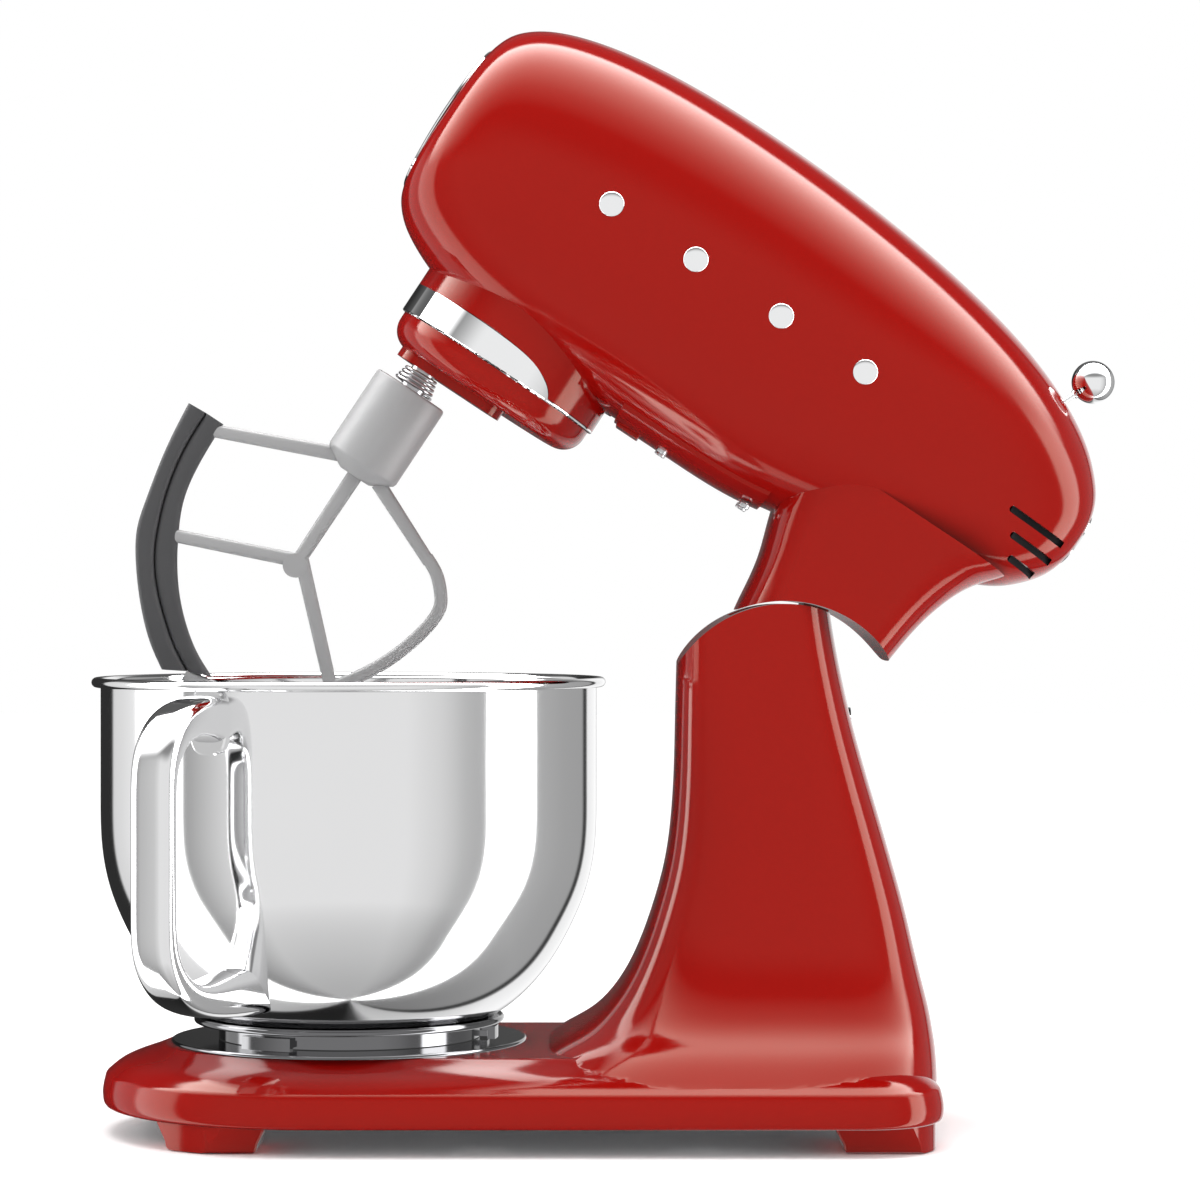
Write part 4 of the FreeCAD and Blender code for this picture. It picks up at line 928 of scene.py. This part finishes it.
class MIXER_OT_bowl_handle(bpy.types.Operator):
    """Builds the bowl's open strap handle"""
    bl_idname = "mixer.bowl_handle"
    bl_label = "Bowl Handle"

    def execute(self, context):
        outer, inner = smooth_line(HANDLE_OUTER, 120), smooth_line(HANDLE_INNER, 120)
        rings = [bar_ring(a, b, HANDLE_WIDE, 3.4, 40) for a, b in zip(outer, inner)]
        handle = skin("bowl_handle_strap", rings)
        pad, pad_z, half_wide, half_tall = [], 177.5, 8.9, 13.6
        for reach, grow in ((104.0, 0), (107.6, 0), (108.3, -0.7)):
            pad.append(oval(lambda a, b, r=reach: (r, a, pad_z + b), half_wide + grow,
                            half_tall + grow, half_tall + grow, 3.2, 3.2, 48))
        carve(handle, [skin("pad", pad)], "UNION")
        bowl_core = [(0, 30)] + [tuple(p) for p in smooth_line(BOWL_ROWS[::-1], 60)]
        core = turned("core", bowl_core + [(BOWL_R, 191), (0, 191)], 128)
        c, s = math.cos(HANDLE_TURN), math.sin(HANDLE_TURN)
        reshape(handle, lambda x, y, z: (x * c - y * s, x * s + y * c, z))
        carve(handle, [core])
        settle(handle, "bowl", "polished_steel", ["bowl_handle"])
        return {"FINISHED"}


# ---- beater ----
EDGE_OUTER = [(-102.9, 148.5), (-101, 131.5), (-98.3, 116.5), (-95.3, 103.5), (-91.8, 91.5),
              (-85.3, 80.5), (-78.3, 71.5), (-68.6, 61), (-58.8, 52.6), (-49.4, 46.6)]
EDGE_INNER = [(-94.2, 149), (-93.6, 131.5), (-91, 116.5), (-88.2, 106.5), (-85.2, 98.5),
              (-79.5, 86.5), (-69.7, 74), (-59.8, 65), (-49.8, 57.5), (-40, 52)]
FRAME_INNER = [(-85.6, 149), (-84.6, 127), (-81.6, 112), (-75.6, 99), (-69.6, 89), (-59.6, 76.2),
               (-49.6, 67), (-39.6, 60.3), (-29.6, 55.8)]
RIM_OUTER = [(20, 152.2), (28, 148.2), (34.5, 142), (38.2, 136), (38.9, 131.6), (37.8, 121),
             (33.9, 107), (28, 94), (21.5, 83.5), (12, 72.5), (0, 62.5), (-13, 54.5), (-26, 49.6),
             (-40, 47.4)]
RIM_INNER = [(17.6, 147.2), (24.5, 143.8), (29.6, 139), (32.6, 134.6), (33.2, 131.6),
             (32.2, 121.5), (28.6, 108.8), (23.2, 97), (17, 87), (8, 76.5), (-3.5, 67),
             (-15.5, 59.8), (-27.5, 55.2), (-40, 53.2)]


class MIXER_OT_beater(bpy.types.Operator):
    """Builds the coated flat beater and its soft wiping blade"""
    bl_idname = "mixer.beater"
    bl_label = "Beater"

    def execute(self, context):
        x = BEATER_X
        corner = [(0, 161.5), (7.2, 161.5), (8.6, 162.2), (16.4, 166.9), (17, 168.4), (17, 204.6),
                  (16.6, 205.6), (15.8, 206), (0, 206)]
        frame_piece = turned("beater_casting", corner, 96, "Z", (x, 0, 0))
        bars = [
            bent_bar("rim", RIM_OUTER, RIM_INNER, 5.6, 90),
            straight_bar("stem", (x, 168), (x, 112), 7.0, 6.0, 6.0),
            straight_bar("arm", (-36, 166.3), (-90, 143.4), 6.4, 5.6, 5.6),
            straight_bar("shoulder", (-16, 164.6), (21, 148.4), 6.4, 5.6, 5.4),
            straight_bar("cross_arm", (x, 118), (-79, 96.6), 6.2, 5.6, 5.6),
            straight_bar("lower_arm", (x + 1, 119), (18, 77.8), 6.2, 5.6, 5.6),
            rod("knot", 5.2, (x, -3, 115.5), (x, 3, 115.5), 48),
        ]
        carve(frame_piece, bars, "UNION")
        carve(frame_piece, [rod("bore", 5.52, (x, 0, 175), (x, 0, 210), 48)])
        settle(frame_piece, "beater", "cast_aluminium", ["beater_frame"], raised=True, sharp=40)
        blade = bent_bar("beater_blade", EDGE_OUTER, EDGE_INNER, 8.0, 90, 3.6)
        sleeve = bent_bar("beater_sleeve", EDGE_INNER, FRAME_INNER, 6.6, 90, 3.0)
        blade = carve(blade, [sleeve], "UNION")
        settle(blade, "beater", "soft_edge", ["beater_edge"], raised=True, sharp=40)
        return {"FINISHED"}


class MIXER_OT_beater_spring(bpy.types.Operator):
    """Builds the conical coil spring above the beater"""
    bl_idname = "mixer.beater_spring"
    bl_label = "Beater Spring"

    def execute(self, context):
        sizes = context.scene.mixer.sizes
        low_z, high_z, wide, narrow = 207.0, 214.4, 8.9, 6.9
        steps = int(sizes.spring_turns * 40)
        rings = []
        for i in range(steps + 1):
            share = i / steps
            turn = 2 * math.pi * sizes.spring_turns * share
            radius = wide + (narrow - wide) * share
            out = Vector((math.cos(turn), math.sin(turn), 0))
            centre = Vector((BEATER_X, 0, low_z + (high_z - low_z) * share)) + out * radius
            rings.append([centre + out * a + Vector((0, 0, b))
                          for a, b in circle(sizes.spring_wire, 12)])
        coil = skin("beater_coil", rings)
        settle(coil, "beater", "steel", ["beater_spring"], raised=True, sharp=60)
        return {"FINISHED"}


# ---- finishes on the frame's own nodes ----
class MIXER_OT_finishes(bpy.types.Operator):
    """Gives every CAD node the finish of its slot and smooth shading, but the bowl's foot and seat
    plate a darker steel that is painted shade
    """
    bl_idname = "mixer.finishes"
    bl_label = "Finishes"

    def execute(self, context):
        slots = {part["node"]: part["material_slot"] for part in frame["record"]["subparts"]}
        for name, node in frame["nodes"].items():
            mesh = node.data
            mesh.materials.clear()
            # the bowl's foot and seat plate are polished steel; their darker steel is painted
            # shade and painted dark reflection
            shade_painted = name in ("bowl_foot", "bowl_seat_plate")
            mesh.materials.append(finish("dark_steel" if shade_painted else slots[name]))
            mesh.polygons.foreach_set("use_smooth", [True] * len(mesh.polygons))
            mesh.set_sharp_from_angle(angle=math.radians(30))
            if node["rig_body"] in ("base", "release", "head"):
                node.visible_glossy = False
        return {"FINISHED"}


# ---- stage ----
def plain(name, colour, rough):
    """A flat material that mirrors nothing."""
    material = bpy.data.materials.new(name)
    material.use_nodes = True
    fill(material.node_tree.nodes["Principled BSDF"],
         {"Base Color": colour, "Roughness": rough, "Specular IOR Level": 0.0})
    return material


def softbox(name, place, aim, size, power):
    """A soft area light that looks from place to aim."""
    lamp = bpy.data.lights.new(name, "AREA")
    lamp.shape, lamp.size, lamp.size_y = "RECTANGLE", size[0], size[1]
    lamp.energy = power
    holder = placed(name, lamp)
    holder.location = place
    holder.rotation_euler = (Vector(aim) - Vector(place)).to_track_quat("-Z", "Y").to_euler()
    holder.visible_glossy = False
    return holder


# name, place, aim and size in metres, and power in watts
LAMPS = (
    ("overhead", (0.05, -0.15, 1.7), (0.07, 0.0, 0.3), (1.5, 0.9), 22),
    ("left_panel", (-1.6, -0.35, 0.6), (0, 0, 0.2), (0.7, 1.4), 9),
    ("right_panel", (1.7, -0.6, 0.6), (0.1, 0, 0.2), (0.5, 1.4), 7),
)
CAMERA_PLACE, CAMERA_LENS, CAMERA_SENSOR = (0.1077, -1.660, 0.227), 115.8, 36.0
FLOOR_REACH, FLOOR_COLOUR, FLOOR_ROUGH = 6.0, (0.97, 0.97, 0.97, 1), 0.8
SEEN_LIGHT, ROOM_LIGHT = 1.0, 1.1    # white that the eye sees and that lights the room
OVER_FROM, OVER_FULL = 0.28, 0.55    # heights between which the overhead panel takes over
# light that the studio's sides give at each turn from the camera's side, negative to the left
STUDIO_SIDES = [
    (-180, 0.12), (-171, 0.03), (-138, 0.03), (-135, 0.80), (-126, 0.85), (-112, 1.0),
    (-108, 4.5), (-81, 4.5), (-78, 0.40), (-47, 0.93), (30, 0.93), (46, 0.79), (52, 0.70),
    (58, 0.59), (69, 0.50), (72, 9.0), (96, 9.0), (99, 0.51), (121, 0.43), (141, 0.40),
    (143.5, 0.05), (147, 0.05), (149, 1.0), (170, 1.1), (180, 0.12),
]
# light of the panel overhead at each turn from the camera's side, over the top, to behind
STUDIO_OVER = [(0, 0.3), (42, 0.3), (58, 2.5), (80, 7.0), (100, 12.0), (117, 15.0), (121, 0.12),
               (180, 0.12)]


def light_ramp(nodes, stops, low, high):
    """A ramp of light over a turn between low and high degrees, and the strength to give it."""
    ramp = nodes.new("ShaderNodeValToRGB")
    most = max(value for _, value in stops)
    steps = ramp.color_ramp.elements
    while len(steps) < len(stops):
        steps.new(0.5)
    for step, (turn, value) in zip(steps, stops):
        step.position = (turn - low) / (high - low)
        step.color = (value / most, value / most, value / most, 1)
    return ramp, most


def turn_share(nodes, wire, split, across, back, low, high):
    """The turn of a direction, as a share of the way from low to high degrees."""
    turn = maths(nodes, "ARCTAN2")
    share = fill(nodes.new("ShaderNodeMapRange"),
                 {"From Min": math.radians(low), "From Max": math.radians(high)})
    wire(split, across, turn, 0)
    wire(back, 0, turn, 1)
    wire(turn, 0, share, "Value")
    return share


def mixed(nodes, wire, *sources):
    """A mix by a share of two lights, all given as a node and its output."""
    mix = nodes.new("ShaderNodeMixShader")
    for into, source in enumerate(sources):
        wire(*source, mix, into)
    return mix, 0


def studio_world():
    """White to the eye, and a studio of soft panels to whatever mirrors it."""
    world = bpy.data.worlds.new("studio")
    bpy.context.scene.world = world
    world.use_nodes = True
    nodes, wire = world.node_tree.nodes, wiring(world.node_tree)
    nodes.clear()
    output = nodes.new("ShaderNodeOutputWorld")
    path = nodes.new("ShaderNodeLightPath")
    place = nodes.new("ShaderNodeTexCoord")
    split = nodes.new("ShaderNodeSeparateXYZ")
    wire(place, "Generated", split, 0)
    towards = maths(nodes, "MULTIPLY", None, -1.0)
    wire(split, "Y", towards, 0)
    panels = []
    for across, stops, low in (("X", STUDIO_SIDES, -180), ("Z", STUDIO_OVER, 0)):
        ramp, most = light_ramp(nodes, stops, low, 180)
        wire(turn_share(nodes, wire, split, across, towards, low, 180), "Result", ramp, "Fac")
        panel = fill(nodes.new("ShaderNodeBackground"), {"Strength": most})
        wire(ramp, "Color", panel, "Color")
        panels.append(panel)
    height = fill(nodes.new("ShaderNodeMapRange"), {"From Min": OVER_FROM, "From Max": OVER_FULL})
    height.interpolation_type = "SMOOTHSTEP"
    wire(split, "Z", height, "Value")
    below = fill(nodes.new("ShaderNodeMapRange"),
                 {"From Min": -1.0, "From Max": -0.6, "To Min": 0.55, "To Max": 1.0})
    wire(split, "Z", below, "Value")
    sides = maths(nodes, "MULTIPLY", None, panels[0].inputs["Strength"].default_value)
    wire(below, "Result", sides, 0)
    wire(sides, 0, panels[0], "Strength")
    mirrored = mixed(nodes, wire, (height, "Result"), *((panel, 0) for panel in panels))
    lit, seen = ((fill(nodes.new("ShaderNodeBackground"),
                       {"Color": (1, 1, 1, 1), "Strength": strength}), 0)
                 for strength in (ROOM_LIGHT, SEEN_LIGHT))
    by_eye = mixed(nodes, wire, (path, "Is Camera Ray"), lit, seen)
    wire(*mixed(nodes, wire, (path, "Is Glossy Ray"), by_eye, mirrored), output, "Surface")


class MIXER_OT_stage(bpy.types.Operator):
    """Builds the pale floor, the soft studio light and the camera"""
    bl_idname = "mixer.stage"
    bl_label = "Stage"

    def execute(self, context):
        scene = context.scene
        scene.view_settings.view_transform = "Standard"
        floor_mesh = bpy.data.meshes.new("floor")
        r = FLOOR_REACH
        floor_mesh.from_pydata([(-r, -r, 0), (r, -r, 0), (r, r, 0), (-r, r, 0)], [],
                               [(0, 1, 2, 3)])
        floor = placed("floor", floor_mesh)
        floor_mesh.materials.append(plain("pale_floor", FLOOR_COLOUR, FLOOR_ROUGH))
        floor.visible_glossy = False
        studio_world()
        for lamp in LAMPS:
            softbox(*lamp)
        camera_data = bpy.data.cameras.new("camera")
        camera_data.lens, camera_data.sensor_width = CAMERA_LENS, CAMERA_SENSOR
        camera = placed("camera", camera_data)
        camera.location = CAMERA_PLACE
        camera.rotation_euler = (math.radians(90), 0, 0)
        scene.camera = camera
        return {"FINISHED"}


class MIXER_PT_panel(bpy.types.Panel):
    """Lists the settings and the operators"""
    bl_label = "Stand Mixer"
    bl_idname = "MIXER_PT_panel"
    bl_space_type = "VIEW_3D"
    bl_region_type = "UI"
    bl_category = "Mixer"

    def draw(self, context):
        settings = context.scene.mixer
        for group in (settings.sizes, settings.colours):
            for name in group.__annotations__:
                self.layout.prop(group, name)
        for operator in OPERATORS:
            self.layout.operator(operator.bl_idname)


OPERATORS = (
    MIXER_OT_stage, MIXER_OT_finishes, MIXER_OT_base_casting, MIXER_OT_head_shell,
    MIXER_OT_studs, MIXER_OT_gearbox_skirt, MIXER_OT_bottom_cover,
    MIXER_OT_trim_band, MIXER_OT_front_cover, MIXER_OT_speed_ball, MIXER_OT_bowl,
    MIXER_OT_bowl_handle, MIXER_OT_beater, MIXER_OT_beater_spring,
)
CLASSES = (MixerSizes, MixerColours, MixerSettings) + OPERATORS + (MIXER_PT_panel,)


def register():
    for one in CLASSES:
        bpy.utils.register_class(one)
    bpy.types.Scene.mixer = bpy.props.PointerProperty(
        type=MixerSettings, name="Mixer", description="Settings of the stand mixer")


def unregister():
    del bpy.types.Scene.mixer
    for one in reversed(CLASSES):
        bpy.utils.unregister_class(one)


def main():
    register()
    for operator in OPERATORS:
        group, name = operator.bl_idname.split(".")
        getattr(getattr(bpy.ops, group), name)()


if __name__ == "__main__":
    main()
